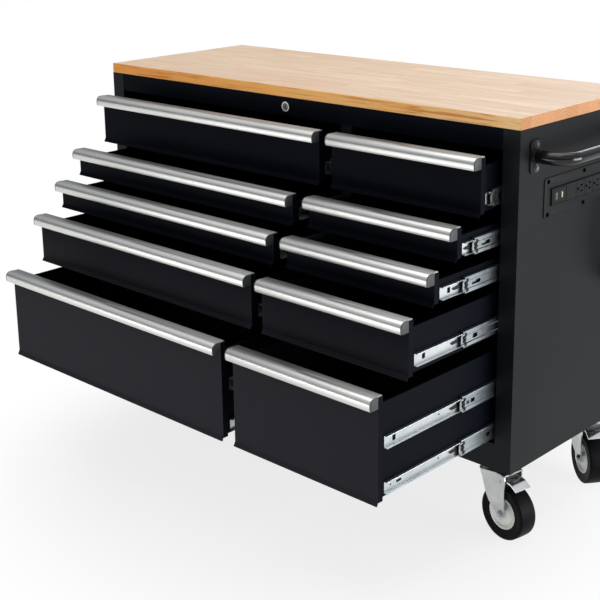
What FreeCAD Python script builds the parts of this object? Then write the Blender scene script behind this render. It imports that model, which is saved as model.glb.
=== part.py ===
import FreeCAD
import Part
import Sketcher

import math
import os

from FreeCAD import Placement, Rotation, Vector

# Rolling tool cabinet with a wood top: ten drawers in two columns on telescopic
# ball-bearing runners, a lock, a side push handle, a power panel and four casters.
# Millimetres, +Z up, front towards -Y. The drawers stand open as they are drawn here.

doc = FreeCAD.newDocument("tool_cabinet")

# Driving sizes, one row each in the sheet: name, value, what it measures.
DRIVING_SIZES = [
    ("body_width", 1320, "carcass over both side panels"),
    ("body_depth", 490, "carcass front face to rear flange"),
    ("body_bottom", 182, "underside of the base pan above the floor"),
    ("body_height", 763, "base pan underside to the underside of the wood top"),
    ("sheet", 1.2, "steel sheet of the carcass and the drawer fronts"),
    ("top_thick", 25, "wood top"),
    ("top_edge", 2, "rounding of the wood top's edges"),
    ("stile_width", 42, "front flange of a side panel"),
    ("stile_return", 45, "inner return of that flange"),
    ("rear_flange", 24, "rear flange of a side panel"),
    ("rail_drop", 46, "face of the top rail"),
    ("rail_flange", 40, "upper flange of the top rail"),
    ("rail_lip", 24, "lower flange of the top rail"),
    ("base_band", 61, "face of the base pan"),
    ("base_return", 40, "upper flange of the base pan"),
    ("left_bay", 793, "clear width of the left column"),
    ("divider_width", 31, "post between the columns"),
    ("post_back", 405, "rear runner post behind the front face"),
    ("post_flange", 26, "its flange that carries the runners"),
    ("row_1", 131, "pitch of the drawer rows, top to bottom"),
    ("row_2", 77, "second row"),
    ("row_3", 77, "third row"),
    ("row_4", 131, "fourth row"),
    ("row_gap", 5, "gap under each drawer front"),
    ("rail_gap", 4, "gap between the top rail and the first pull"),
    ("front_side_gap", 2.5, "gap beside each drawer front"),
    ("front_thick", 14, "folded drawer front"),
    ("lip_reach", 5.4, "kick of the front's lower edge"),
    ("lip_height", 10, "height of that kick"),
    ("lip_hook", 3, "turned-back edge under it"),
    ("tray_length", 440, "tray behind the drawer front"),
    ("tray_sheet", 1, "tray walls and floor"),
    ("tray_floor_lift", 6, "tray floor above the front's lower edge"),
    ("tray_top_drop", 23, "tray wall below the top of the pull"),
    ("tray_hem", 5, "hem along the top of the tray walls"),
    ("pull_depth", 24, "pull in front of the drawer front"),
    ("pull_height", 25, "pull, top to lower edge"),
    ("pull_wall", 2, "wall of the pull's section"),
    ("pull_heel", 10, "height of the pull's rear leg"),
    ("pull_round", 13, "radius of the pull's upper front"),
    ("pull_cap", 2.5, "end cap of the pull"),
    ("runner_space", 13.5, "from the mounting face to the tray wall"),
    ("runner_sheet", 1.2, "sheet of the runner members"),
    ("runner_start", 18, "front of the outer members behind the front face"),
    ("runner_length", 420, "cabinet and middle members"),
    ("outer_height", 45, "cabinet member"),
    ("outer_reach", 10.6, "its flanges from the mounting face"),
    ("outer_lip", 3.85, "its turned-in lips"),
    ("middle_height", 36.6, "middle member"),
    ("middle_stand", 3, "its web from the mounting face"),
    ("middle_reach", 11.4, "its flanges from the mounting face"),
    ("middle_lip", 2.6, "its turned-in lips"),
    ("middle_rib", 0.8, "depth of the channel pressed along its web"),
    ("middle_rib_height", 18, "width of that channel"),
    ("inner_height", 28, "drawer member"),
    ("inner_reach", 4.5, "its flanges' edges from the mounting face"),
    ("inner_start", 30, "its front behind the drawer front"),
    ("inner_length", 405, "drawer member"),
    ("slot_length", 18, "slot near the middle member's nose"),
    ("slot_height", 9, "height of that slot"),
    ("nose_cut", 7, "cut corners of that nose"),
    ("window", 5, "square holes of the drawer member"),
    ("lever_length", 46, "release lever"),
    ("lever_lead", 27, "release lever in front of the middle member"),
    ("lever_height", 7, "release lever"),
    ("lever_thick", 1.6, "release lever"),
    ("low_runner", 20, "runner centre above the lower edge, 77 mm rows"),
    ("mid_runner", 33, "runner centre above the lower edge, 131 mm rows"),
    ("deep_runner", 25, "lower runner centre of the deep row"),
    ("upper_runner", 124, "upper runner centre of the deep row"),
    ("open_left_1", 72, "how far each drawer stands open"),
    ("open_left_2", 161, "left column, second row"),
    ("open_left_3", 224, "left column, third row"),
    ("open_left_4", 297, "left column, fourth row"),
    ("open_left_5", 393, "left column, fifth row"),
    ("open_right_1", 70, "right column, first row"),
    ("open_right_2", 147, "right column, second row"),
    ("open_right_3", 220, "right column, third row"),
    ("open_right_4", 300, "right column, fourth row"),
    ("open_right_5", 392, "right column, fifth row"),
    ("share_1", 0.72, "middle member's part of its drawer's way"),
    ("share_2", 0.75, "second row"),
    ("share_3", 0.64, "third row"),
    ("share_4", 0.475, "fourth row"),
    ("share_5", 0.362, "fifth row"),
    ("lock_collar", 24, "collar of the lock"),
    ("lock_barrel", 19, "barrel of the lock"),
    ("lock_depth", 24, "barrel behind the rail's face"),
    ("lock_stand", 3, "collar in front of the rail"),
    ("lock_key", 14, "turning plug"),
    ("turn_gap", 0.05, "radial clearance of what turns"),
    ("seat_gap", 0.3, "clearance of what slides or passes"),
    ("handle_tube", 28, "push handle tube"),
    ("handle_reach", 75, "tube axis in front of the side panel"),
    ("handle_inset", 57, "tube end from the front and rear faces"),
    ("handle_drop", 62, "tube axis below the wood top"),
    ("handle_bend", 42, "bend radius of the tube's axis"),
    ("flange_width", 50, "welded plate of the handle"),
    ("flange_height", 74, "its height"),
    ("flange_corner", 9, "its cut corners"),
    ("flange_thick", 3, "its thickness"),
    ("bolt_pitch", 50, "its two bolts"),
    ("bolt_head", 13, "their heads"),
    ("bolt_height", 4, "their heads"),
    ("panel_start", 94, "power panel behind the front face"),
    ("panel_length", 312, "power panel"),
    ("panel_height", 88, "power panel"),
    ("panel_drop", 161.5, "its centre below the wood top's underside"),
    ("panel_thick", 2, "power panel"),
    ("panel_corner", 8, "its corners"),
    ("module_length", 264, "outlet module"),
    ("module_height", 38, "outlet module"),
    ("module_stand", 3, "module in front of the panel"),
    ("module_depth", 42, "module behind the panel"),
    ("rocker_length", 14, "rocker switch along the cabinet"),
    ("rocker_height", 20, "rocker switch"),
    ("rocker_tilt", 8, "tilt of the rocker in degrees"),
    ("cord_dia", 9, "power cord"),
    ("coil_width", 154, "hanging coil over its outer turn"),
    ("coil_height", 224, "hanging coil over its outer turn"),
    ("coil_centre_back", 412, "coil centre behind the front face"),
    ("coil_centre_drop", 313, "coil centre below the wood top's underside"),
    ("coil_stand", 22, "axis of its first layer off the side panel"),
    ("coil_step", 10.2, "from one turn to the next"),
    ("hook_rod", 6, "cord hook"),
    ("hook_reach", 58, "its peg"),
    ("caster_inset", 68, "swivel axis from the side"),
    ("caster_back", 60, "swivel axis from the front and rear faces"),
    ("caster_trail", 32, "wheel axle behind the swivel axis"),
    ("wheel_dia", 127, "caster wheel, 5 inches"),
    ("wheel_width", 45, "tyre"),
    ("wheel_bevel", 4, "bevel of the tyre's shoulders"),
    ("hub_dia", 77, "wheel disc inside the tyre"),
    ("hub_length", 50, "wheel hub"),
    ("boss_dia", 24, "wheel hub"),
    ("disc_width", 41, "wheel disc"),
    ("axle_dia", 10, "wheel axle"),
    ("axle_head", 17, "its head and nut"),
    ("axle_head_height", 6, "its head and nut"),
    ("fork_sheet", 3, "fork legs and crown"),
    ("fork_gap", 0.5, "between hub and leg"),
    ("crown_top", 167, "crown of the swivel fork above the floor"),
    ("fork_width", 74, "crown along the cabinet"),
    ("race_dia", 50, "lower ball race"),
    ("race_height", 5, "lower ball race"),
    ("cup_dia", 58, "upper ball race on the plate"),
    ("kingpin_dia", 12, "swivel pin"),
    ("plate_thick", 3, "caster top plate"),
    ("plate_length", 100, "caster top plate"),
    ("plate_width", 82, "caster top plate"),
    ("pedal_width", 46, "brake pedal"),
    ("pedal_sheet", 2.5, "brake pedal"),
    ("pedal_pin", 6, "its pivot pin"),
    ("pedal_pin_forward", 31, "pivot in the trailing direction"),
    ("pedal_pin_height", 143, "pivot above the floor"),
    ("front_turn", -10, "angle of the front swivel fork in degrees"),
    ("rear_turn", -36.5, "angle of the rear swivel fork in degrees"),
]


class Size:
    """A number and the sheet expression that gives it, so each formula is written once."""

    def __init__(self, value, text):
        self.value = float(value)
        self.text = text

    def __add__(self, other):
        other = size(other)
        return Size(self.value + other.value, f"({self.text} + {other.text})")

    def __sub__(self, other):
        other = size(other)
        return Size(self.value - other.value, f"({self.text} - {other.text})")

    def __mul__(self, other):
        other = size(other)
        return Size(self.value * other.value, f"({self.text} * {other.text})")

    def __truediv__(self, other):
        other = size(other)
        return Size(self.value / other.value, f"({self.text} / {other.text})")

    def __radd__(self, other):
        return size(other) + self

    def __rsub__(self, other):
        return size(other) - self

    def __rmul__(self, other):
        return size(other) * self

    def __neg__(self):
        return size(-1) * self

    def __float__(self):
        return self.value


def size(number):
    """A plain number as a Size."""
    if isinstance(number, Size):
        return number
    return Size(number, f"{number}")


class Sizes:
    """The driving sizes by name."""


def fill_sheet():
    sheet = doc.addObject("Spreadsheet::Sheet", "Sizes")
    named = Sizes()
    for row, (name, value, note) in enumerate(DRIVING_SIZES, start=1):
        sheet.set(f"A{row}", name)
        sheet.set(f"B{row}", str(value))
        sheet.set(f"C{row}", note)
        sheet.setAlias(f"B{row}", name)
        setattr(named, name, Size(value, f"Sizes.{name}"))
    return named


s = fill_sheet()
doc.recompute()

# Sizes that follow from the driving ones. Lengths across start at the left side panel's
# outer face and lengths back start at the front face, until place() adds the origin.
body_top = s.body_bottom + s.body_height
right_bay_start = s.stile_width + s.left_bay + s.divider_width
right_bay = s.body_width - s.stile_width - right_bay_start
first_row_top = body_top - s.rail_drop - s.rail_gap
base_top = s.body_bottom + s.base_band
runner_end = s.runner_start + s.runner_length
axle_height = s.wheel_dia / 2
fork_inside = s.hub_length + 2 * s.fork_gap
fork_outside = fork_inside + 2 * s.fork_sheet
handle_height = body_top - s.handle_drop
panel_centre = body_top - s.panel_drop
coil_height_centre = body_top - s.coil_centre_drop

# The origin is on the floor below the middle of the whole cabinet with its drawers open.
origin_across = (s.body_width + s.handle_reach + s.handle_tube / 2) / 2
origin_back = (s.body_depth - s.open_left_5 - s.pull_depth) / 2

pieces = {}


def keep(node, piece):
    """Adds a solid to the sub-part that it belongs to."""
    pieces.setdefault(node, []).append(piece)


def bind(thing, path, amount):
    """Binds one property to the sheet, or sets it where the amount is a plain number."""
    thing.setExpression(path, size(amount).text)


def place(piece, across, back, up, turn=None):
    """Puts a piece where it belongs, measured from the carcass corner on the floor."""
    if turn is not None:
        piece.Placement = Placement(Vector(), Rotation(Vector(0, 0, 1), turn.value))
        bind(piece, "Placement.Rotation.Angle", turn)
    bind(piece, "Placement.Base.x", across - origin_across)
    bind(piece, "Placement.Base.y", back - origin_back)
    bind(piece, "Placement.Base.z", up)


def new_body(name):
    return doc.addObject("PartDesign::Body", name)


def new_sketch(body, plane, offset=None):
    """A sketch on one of the body's origin planes, moved along that plane's normal."""
    sketch = body.newObject("Sketcher::SketchObject", f"{body.Name}_{plane}_sketch")
    for origin_plane in body.Origin.OriginFeatures:
        if origin_plane.Role == f"{plane}_Plane":
            sketch.AttachmentSupport = [(origin_plane, "")]
    sketch.MapMode = "FlatFace"
    if offset is not None:
        sign = -1 if plane == "XZ" else 1
        bind(sketch, "AttachmentOffset.Base.z", sign * size(offset))
    return sketch


def arc_through(start, end, radius):
    """Arc from start to end that bulges to the right of that way where radius is positive."""
    chord = end - start
    half = chord.Length / 2
    reach = abs(radius)
    rise = reach - math.sqrt(max(reach * reach - half * half, 0))
    aside = Vector(chord.y, -chord.x, 0).normalize() * math.copysign(rise, radius)
    return Part.Arc(start, start + chord * 0.5 + aside, end)


def outline(sketch, corners):
    """Closed outline. Each corner is (x, y), or (x, y, radius) where an arc leads to it."""
    points = [Vector(size(c[0]).value, size(c[1]).value, 0) for c in corners]
    count = len(corners)
    first = sketch.GeometryCount
    shapes = []
    arcs = {}
    for index in range(count):
        following = (index + 1) % count
        corner = corners[following]
        if len(corner) == 3:
            arcs[index] = size(corner[2])
            shapes.append(arc_through(points[index], points[following], arcs[index].value))
        else:
            shapes.append(Part.LineSegment(points[index], points[following]))
    sketch.addGeometry(shapes, False)
    ends = {}
    for index in range(count):
        begin = sketch.getPoint(first + index, 1)
        turned = (begin - points[index]).Length > 1e-6
        ends[index] = (2, 1) if turned else (1, 2)
    rules = []
    bound = []
    for index in range(count):
        following = (index + 1) % count
        rules.append(Sketcher.Constraint("Coincident", first + index, ends[index][1],
                                         first + following, ends[following][0]))
    for index, corner in enumerate(corners):
        for kind, amount in (("DistanceX", size(corner[0])), ("DistanceY", size(corner[1]))):
            rules.append(Sketcher.Constraint(kind, -1, 1, first + index, ends[index][0],
                                             amount.value))
            bound.append((len(rules) - 1, amount))
    for index, radius in arcs.items():
        rules.append(Sketcher.Constraint("Radius", first + index, abs(radius.value)))
        bound.append((len(rules) - 1, radius if radius.value > 0 else -radius))
    numbers = sketch.addConstraint(rules)
    for place_in_list, amount in bound:
        bind(sketch, f"Constraints[{numbers[place_in_list]}]", amount)


def circle(sketch, across, up, diameter):
    """A circle tied to the origin by its centre and to the sheet by its radius."""
    centre = Vector(size(across).value, size(up).value, 0)
    radius = size(diameter) / 2
    number = sketch.addGeometry(Part.Circle(centre, Vector(0, 0, 1), radius.value), False)
    numbers = sketch.addConstraint([
        Sketcher.Constraint("DistanceX", -1, 1, number, 3, centre.x),
        Sketcher.Constraint("DistanceY", -1, 1, number, 3, centre.y),
        Sketcher.Constraint("Radius", number, radius.value),
    ])
    for constraint, amount in zip(numbers, (size(across), size(up), radius)):
        bind(sketch, f"Constraints[{constraint}]", amount)


def rectangle(sketch, left, low, right, high):
    outline(sketch, [(left, low), (right, low), (right, high), (left, high)])


def pad(body, sketch, length, both_ways=False):
    """Adds material towards +X, +Y or +Z from the sketch, or half of it each way."""
    feature = body.newObject("PartDesign::Pad", f"{sketch.Name}_pad")
    feature.Profile = sketch
    feature.Midplane = both_ways
    feature.Reversed = "XZ" in sketch.Name and not both_ways
    bind(feature, "Length", length)
    sketch.Visibility = False
    return feature


def pocket(body, sketch, length, both_ways=False):
    """Cuts towards +X, +Y or +Z from the sketch, or half of it each way."""
    feature = body.newObject("PartDesign::Pocket", f"{sketch.Name}_pocket")
    feature.Profile = sketch
    feature.Midplane = both_ways
    feature.Reversed = "XZ" not in sketch.Name and not both_ways
    bind(feature, "Length", length)
    sketch.Visibility = False
    return feature


def round_edges(body, base, radius, wanted):
    """Rounds the base feature's edges for which wanted(edge) is true."""
    doc.recompute()
    names = [f"Edge{number}" for number, edge in enumerate(base.Shape.Edges, start=1)
             if wanted(edge)]
    feature = body.newObject("PartDesign::Fillet", f"{body.Name}_round")
    feature.Base = (base, names)
    bind(feature, "Radius", radius)
    return feature


def runs_along(edge, axis):
    """Whether an edge is a straight one along the given axis."""
    if len(edge.Vertexes) != 2:
        return False
    way = edge.Vertexes[1].Point - edge.Vertexes[0].Point
    return abs(abs(way.dot(axis)) - edge.Length) < 1e-6


def make_worktop():
    body = new_body("worktop")
    sketch = new_sketch(body, "XY")
    rectangle(sketch, 0, 0, s.body_width, s.body_depth)
    board = pad(body, sketch, s.top_thick)
    upper = s.top_thick.value - 1e-3
    round_edges(body, board, s.top_edge,
                lambda e: runs_along(e, Vector(0, 0, 1)) or e.BoundBox.ZMin > upper)
    place(body, size(0), size(0), body_top)
    keep("worktop", body)


def make_side_panel(side):
    """Folded side panel with its front stile, and the rear post that carries the runners."""
    def across(distance):
        return size(distance) if side == "left" else s.body_width - distance

    body = new_body(f"{side}_panel")
    sketch = new_sketch(body, "XY")
    outline(sketch, [
        (across(0), 0), (across(s.stile_width), 0),
        (across(s.stile_width), s.stile_return),
        (across(s.stile_width - s.sheet), s.stile_return),
        (across(s.stile_width - s.sheet), s.sheet),
        (across(s.sheet), s.sheet), (across(s.sheet), s.body_depth - s.sheet),
        (across(s.rear_flange), s.body_depth - s.sheet),
        (across(s.rear_flange), s.body_depth), (across(0), s.body_depth),
    ])
    pad(body, sketch, s.body_height - s.sheet)
    if side == "right":
        cut = new_sketch(body, "YZ", across(s.sheet * 2))
        low = panel_centre - s.body_bottom - s.sheet - s.module_height / 2 - s.seat_gap
        start = s.panel_start + (s.panel_length - s.module_length) / 2 - s.seat_gap
        rectangle(cut, start, low, start + s.module_length + 2 * s.seat_gap,
                  low + s.module_height + 2 * s.seat_gap)
        pocket(body, cut, s.sheet * 4)
    place(body, size(0), size(0), s.body_bottom + s.sheet)
    keep(f"{side}_side_panel", body)

    post = new_body(f"{side}_post")
    sketch = new_sketch(post, "XY")
    back = s.post_back + s.post_flange
    outline(sketch, [
        (across(s.sheet), back - s.sheet), (across(s.stile_width - s.sheet), back - s.sheet),
        (across(s.stile_width - s.sheet), s.post_back), (across(s.stile_width), s.post_back),
        (across(s.stile_width), back), (across(s.sheet), back),
    ])
    pad(post, sketch, s.body_height - s.sheet)
    place(post, size(0), size(0), s.body_bottom + s.sheet)
    keep(f"{side}_side_panel", post)


def make_back_panel():
    body = new_body("back_panel")
    sketch = new_sketch(body, "XZ")
    rectangle(sketch, s.sheet, s.sheet, s.body_width - s.sheet, s.body_height)
    pad(body, sketch, s.sheet)
    place(body, size(0), s.body_depth - 2 * s.sheet, s.body_bottom)
    keep("back_panel", body)


def make_base_pan():
    body = new_body("base_pan")
    floor = new_sketch(body, "XY")
    rectangle(floor, 0, 0, s.body_width, s.body_depth)
    pad(body, floor, s.sheet)
    band = new_sketch(body, "YZ", s.stile_width)
    outline(band, [
        (0, 0), (s.sheet, 0), (s.sheet, s.base_band - s.sheet),
        (s.base_return, s.base_band - s.sheet), (s.base_return, s.base_band),
        (0, s.base_band),
    ])
    pad(body, band, s.body_width - 2 * s.stile_width)
    place(body, size(0), size(0), s.body_bottom)
    keep("base_pan", body)


def make_front_rail():
    body = new_body("front_rail")
    sketch = new_sketch(body, "YZ", s.stile_width)
    outline(sketch, [
        (0, 0), (s.rail_lip, 0), (s.rail_lip, s.sheet), (s.sheet, s.sheet),
        (s.sheet, s.rail_drop - s.sheet), (s.rail_flange, s.rail_drop - s.sheet),
        (s.rail_flange, s.rail_drop), (0, s.rail_drop),
    ])
    pad(body, sketch, s.body_width - 2 * s.stile_width)
    hole = new_sketch(body, "XZ")
    circle(hole, s.body_width / 2, s.rail_drop / 2, s.lock_barrel + 2 * s.turn_gap)
    pocket(body, hole, s.sheet * 2)
    place(body, size(0), size(0), body_top - s.rail_drop)
    keep("front_rail", body)


def make_divider():
    body = new_body("centre_divider")
    sketch = new_sketch(body, "XY")
    depth = s.body_depth - 2 * s.sheet
    inside = s.divider_width - s.sheet
    outline(sketch, [
        (0, 0), (s.divider_width, 0), (s.divider_width, depth), (inside, depth),
        (inside, s.sheet), (s.sheet, s.sheet), (s.sheet, depth), (0, depth),
    ])
    pad(body, sketch, s.body_height - s.rail_drop - s.base_band)
    place(body, s.stile_width + s.left_bay, size(0), base_top)
    keep("centre_divider", body)


class Drawer:
    """Where one drawer sits: its bay, its rows' heights and how far it is open."""

    def __init__(self, column, row):
        self.column = column
        self.row = row
        self.name = f"{column}_drawer_{row}"
        self.bay_start = s.stile_width if column == "left" else right_bay_start
        self.bay_width = s.left_bay if column == "left" else right_bay
        self.open = getattr(s, f"open_{column}_{row}")
        self.share = getattr(s, f"share_{row}")
        top = first_row_top
        for above in range(1, row):
            top = top - getattr(s, f"row_{above}")
        self.top = top
        if row == 5:
            self.low = base_top + s.row_gap
            self.runners = [s.deep_runner, s.upper_runner]
        else:
            self.low = top - getattr(s, f"row_{row}") + s.row_gap
            self.runners = [s.low_runner if row in (2, 3) else s.mid_runner]
        self.front_width = self.bay_width - 2 * s.front_side_gap

    def sides(self):
        """The two mounting faces, with the way from each into the bay."""
        yield "a", self.bay_start, 1
        yield "b", self.bay_start + self.bay_width, -1


drawers = [Drawer(column, row) for column in ("left", "right") for row in range(1, 6)]


def make_tray(drawer):
    """Folded front with its kicked lower edge, and the tray with a hem round its top."""
    body = new_body(f"{drawer.name}_box")
    height = drawer.top - drawer.low
    front_height = height - s.pull_wall
    front = new_sketch(body, "YZ")
    outline(front, [
        (s.lip_hook - s.lip_reach, 0), (-s.lip_reach, 0), (0, s.lip_height),
        (0, front_height), (s.front_thick, front_height),
        (s.front_thick, s.tray_floor_lift), (s.sheet, s.tray_floor_lift),
        (s.sheet, s.lip_height), (s.lip_hook - s.lip_reach, s.sheet),
    ])
    pad(body, front, drawer.front_width)
    hollow = new_sketch(body, "XY")
    rectangle(hollow, s.sheet, s.sheet, drawer.front_width - s.sheet, s.front_thick - s.sheet)
    pocket(body, hollow, front_height - s.sheet)
    wall_in = s.runner_space - s.front_side_gap
    wall_out = drawer.front_width - wall_in
    wall_height = height - s.tray_floor_lift - s.tray_top_drop
    walls = new_sketch(body, "XY", s.tray_floor_lift)
    tray_end = s.front_thick + s.tray_length
    rectangle(walls, wall_in, s.front_thick, wall_out, tray_end)
    pad(body, walls, wall_height)
    cavity = new_sketch(body, "XY", s.tray_floor_lift + s.tray_sheet)
    rectangle(cavity, wall_in + s.tray_sheet, s.front_thick, wall_out - s.tray_sheet,
              tray_end - s.tray_sheet)
    pocket(body, cavity, wall_height - 2 * s.tray_sheet)
    mouth = new_sketch(body, "XY", s.tray_floor_lift + wall_height - s.tray_sheet)
    rectangle(mouth, wall_in + s.tray_hem, s.front_thick, wall_out - s.tray_hem,
              tray_end - s.tray_hem)
    pocket(body, mouth, s.tray_sheet)
    place(body, drawer.bay_start + s.front_side_gap, -drawer.open, drawer.low)
    keep(f"{drawer.name}_tray", body)


def make_pull(drawer):
    """Extruded pull, open below for the fingers, with a cap on each end."""
    front = -s.pull_depth
    round_start = front + s.pull_round
    inner_round = s.pull_round - s.pull_wall
    lower = -s.pull_height
    section = [
        (s.front_thick, 0), (round_start, 0), (front, -s.pull_round, s.pull_round),
        (front + s.pull_wall, lower), (front + 2 * s.pull_wall, lower),
        (front + s.pull_wall, -s.pull_round), (round_start, -s.pull_wall, -inner_round),
        (-s.pull_wall, -s.pull_wall), (-s.pull_wall, -s.pull_heel), (0, -s.pull_heel),
        (0, -s.pull_wall), (s.front_thick, -s.pull_wall),
    ]
    body = new_body(f"{drawer.name}_pull")
    sketch = new_sketch(body, "YZ")
    outline(sketch, section)
    pad(body, sketch, drawer.front_width - 2 * s.pull_cap)
    place(body, drawer.bay_start + s.front_side_gap + s.pull_cap, -drawer.open, drawer.top)
    keep(f"{drawer.name}_pull_and_runners", body)
    ends = (drawer.bay_start + s.front_side_gap,
            drawer.bay_start + s.front_side_gap + drawer.front_width - s.pull_cap)
    for number, start in enumerate(ends):
        cap = new_body(f"{drawer.name}_cap_{number}")
        sketch = new_sketch(cap, "YZ")
        outline(sketch, [(0, 0), (round_start, 0), (front, -s.pull_round, s.pull_round),
                         (front + s.pull_wall, lower), (0, lower)])
        pad(cap, sketch, s.pull_cap)
        place(cap, start, -drawer.open, drawer.top)
        keep(f"{drawer.name}_pull_and_runners", cap)


def both_halves(half, way):
    """A section symmetrical about its middle: the given upper half, then its mirror image."""
    upper = [(way * across, up) for across, up in half]
    lower = [(way * across, -up) for across, up in reversed(half)]
    return upper + lower


def make_runners(drawer):
    """Telescopic runners: cabinet, middle and drawer members nested with room for balls."""
    for height in drawer.runners:
        for hand, face, way in drawer.sides():
            centre = drawer.low + height
            tag = f"{drawer.name}_{hand}{int(height.value)}"
            make_outer_member(f"{tag}_outer", face, way, centre)
            moved = s.runner_start - drawer.share * drawer.open
            make_middle_member(f"{tag}_middle", drawer, face, way, moved, centre)
            make_inner_member(f"{tag}_inner", drawer, face, way, centre)


def make_outer_member(name, face, way, centre):
    top = s.outer_height / 2
    body = new_body(name)
    sketch = new_sketch(body, "XZ")
    outline(sketch, both_halves([
        (size(0), top), (s.outer_reach, top), (s.outer_reach, top - s.outer_lip),
        (s.outer_reach - s.runner_sheet, top - s.outer_lip),
        (s.outer_reach - s.runner_sheet, top - s.runner_sheet),
        (s.runner_sheet, top - s.runner_sheet),
    ], way))
    pad(body, sketch, s.runner_length)
    place(body, face, s.runner_start, centre)
    keep("cabinet_runners", body)


def make_middle_member(name, drawer, face, way, start, centre):
    top = s.middle_height / 2
    rib = s.middle_rib_height / 2
    web = s.middle_stand
    body = new_body(name)
    sketch = new_sketch(body, "XZ")
    outer_half = [
        (web, rib), (web, top - s.runner_sheet), (web + s.runner_sheet, top),
        (s.middle_reach, top), (s.middle_reach, top - s.middle_lip),
        (s.middle_reach - s.runner_sheet, top - s.middle_lip),
        (s.middle_reach - s.runner_sheet, top - s.runner_sheet),
        (web + 1.5 * s.runner_sheet, top - s.runner_sheet),
        (web + s.runner_sheet, top - 1.5 * s.runner_sheet),
        (web + s.runner_sheet, rib),
        (web + s.runner_sheet + s.middle_rib, rib - 2 * s.middle_rib),
    ]
    inner_end = [(web + s.middle_rib, -(rib - 2 * s.middle_rib)),
                 (web + s.middle_rib, rib - 2 * s.middle_rib)]
    profile = both_halves(outer_half, way)
    profile += [(way * across, up) for across, up in inner_end]
    outline(sketch, profile)
    pad(body, sketch, s.runner_length)
    cuts = new_sketch(body, "YZ")
    half_slot = s.slot_height / 2
    near = 2 * s.nose_cut + half_slot
    far = near + s.slot_length
    outline(cuts, [(near, -half_slot), (far, -half_slot), (far + half_slot, 0),
                   (far, half_slot), (near, half_slot), (near - half_slot, 0)])
    outline(cuts, [(0, top), (0, top - s.nose_cut), (s.nose_cut, top)])
    outline(cuts, [(0, -top), (s.nose_cut, -top), (0, s.nose_cut - top)])
    pocket(body, cuts, 2 * s.middle_reach, both_ways=True)
    place(body, face, start, centre)
    keep(f"{drawer.name}_mid_runners", body)


def make_inner_member(name, drawer, face, way, centre):
    top = s.inner_height / 2
    web = s.runner_space - s.runner_sheet
    body = new_body(name)
    sketch = new_sketch(body, "XZ")
    outline(sketch, both_halves([
        (s.runner_space, top - s.runner_sheet), (web, top), (s.inner_reach, top),
        (s.inner_reach, top - s.runner_sheet), (web, top - s.runner_sheet),
    ], way))
    pad(body, sketch, s.inner_length)
    holes = new_sketch(body, "YZ")
    for step in (1, 3):
        start = step * 4 * s.window
        rectangle(holes, start, -s.window / 2, start + s.window, s.window / 2)
    pocket(body, holes, 2 * s.runner_space, both_ways=True)
    place(body, face, s.inner_start - drawer.open, centre)
    keep(f"{drawer.name}_pull_and_runners", body)

    lever = new_body(f"{name}_lever")
    sketch = new_sketch(lever, "YZ")
    half = s.lever_height / 2
    outline(sketch, [(0, 0), (half, -half), (s.lever_length, -half),
                     (s.lever_length, half), (half, half)])
    pad(lever, sketch, s.lever_thick)
    seat = face + web - s.lever_thick if way > 0 else face - web
    if drawer.row < 3:
        lever_start = s.inner_start + s.window - drawer.open
    else:
        lever_start = s.runner_start - drawer.share * drawer.open - s.lever_lead
    place(lever, seat, lever_start, centre)
    keep(f"{drawer.name}_pull_and_runners", lever)


def make_lock():
    height = body_top - s.rail_drop / 2
    body = new_body("lock_case")
    collar = new_sketch(body, "XZ")
    circle(collar, 0, 0, s.lock_collar)
    circle(collar, 0, 0, s.lock_key + 2 * s.turn_gap)
    pad(body, collar, s.lock_stand)
    barrel = new_sketch(body, "XZ", s.lock_stand)
    circle(barrel, 0, 0, s.lock_barrel)
    circle(barrel, 0, 0, s.lock_key + 2 * s.turn_gap)
    pad(body, barrel, s.lock_depth)
    place(body, s.body_width / 2, -s.lock_stand, height)
    keep("lock_cylinder", body)

    plug = new_body("lock_turning_plug")
    core = new_sketch(plug, "XZ")
    circle(core, 0, 0, s.lock_key)
    pad(plug, core, s.lock_stand + s.lock_depth + s.seat_gap)
    cam = new_sketch(plug, "XZ", s.lock_stand + s.lock_depth + s.seat_gap)
    half = s.lock_key / 2
    outline(cam, [(-half, -2 * s.lock_key), (half, -2 * s.lock_key), (half, half),
                  (-half, half)])
    pad(plug, cam, 2 * s.sheet)
    keyway = new_sketch(plug, "XZ")
    rectangle(keyway, -s.sheet / 2, -s.lock_key / 4, s.sheet / 2, s.lock_key / 4)
    pocket(plug, keyway, s.lock_key / 2)
    place(plug, s.body_width / 2, -s.lock_stand, height)
    keep("lock_plug", plug)


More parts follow.
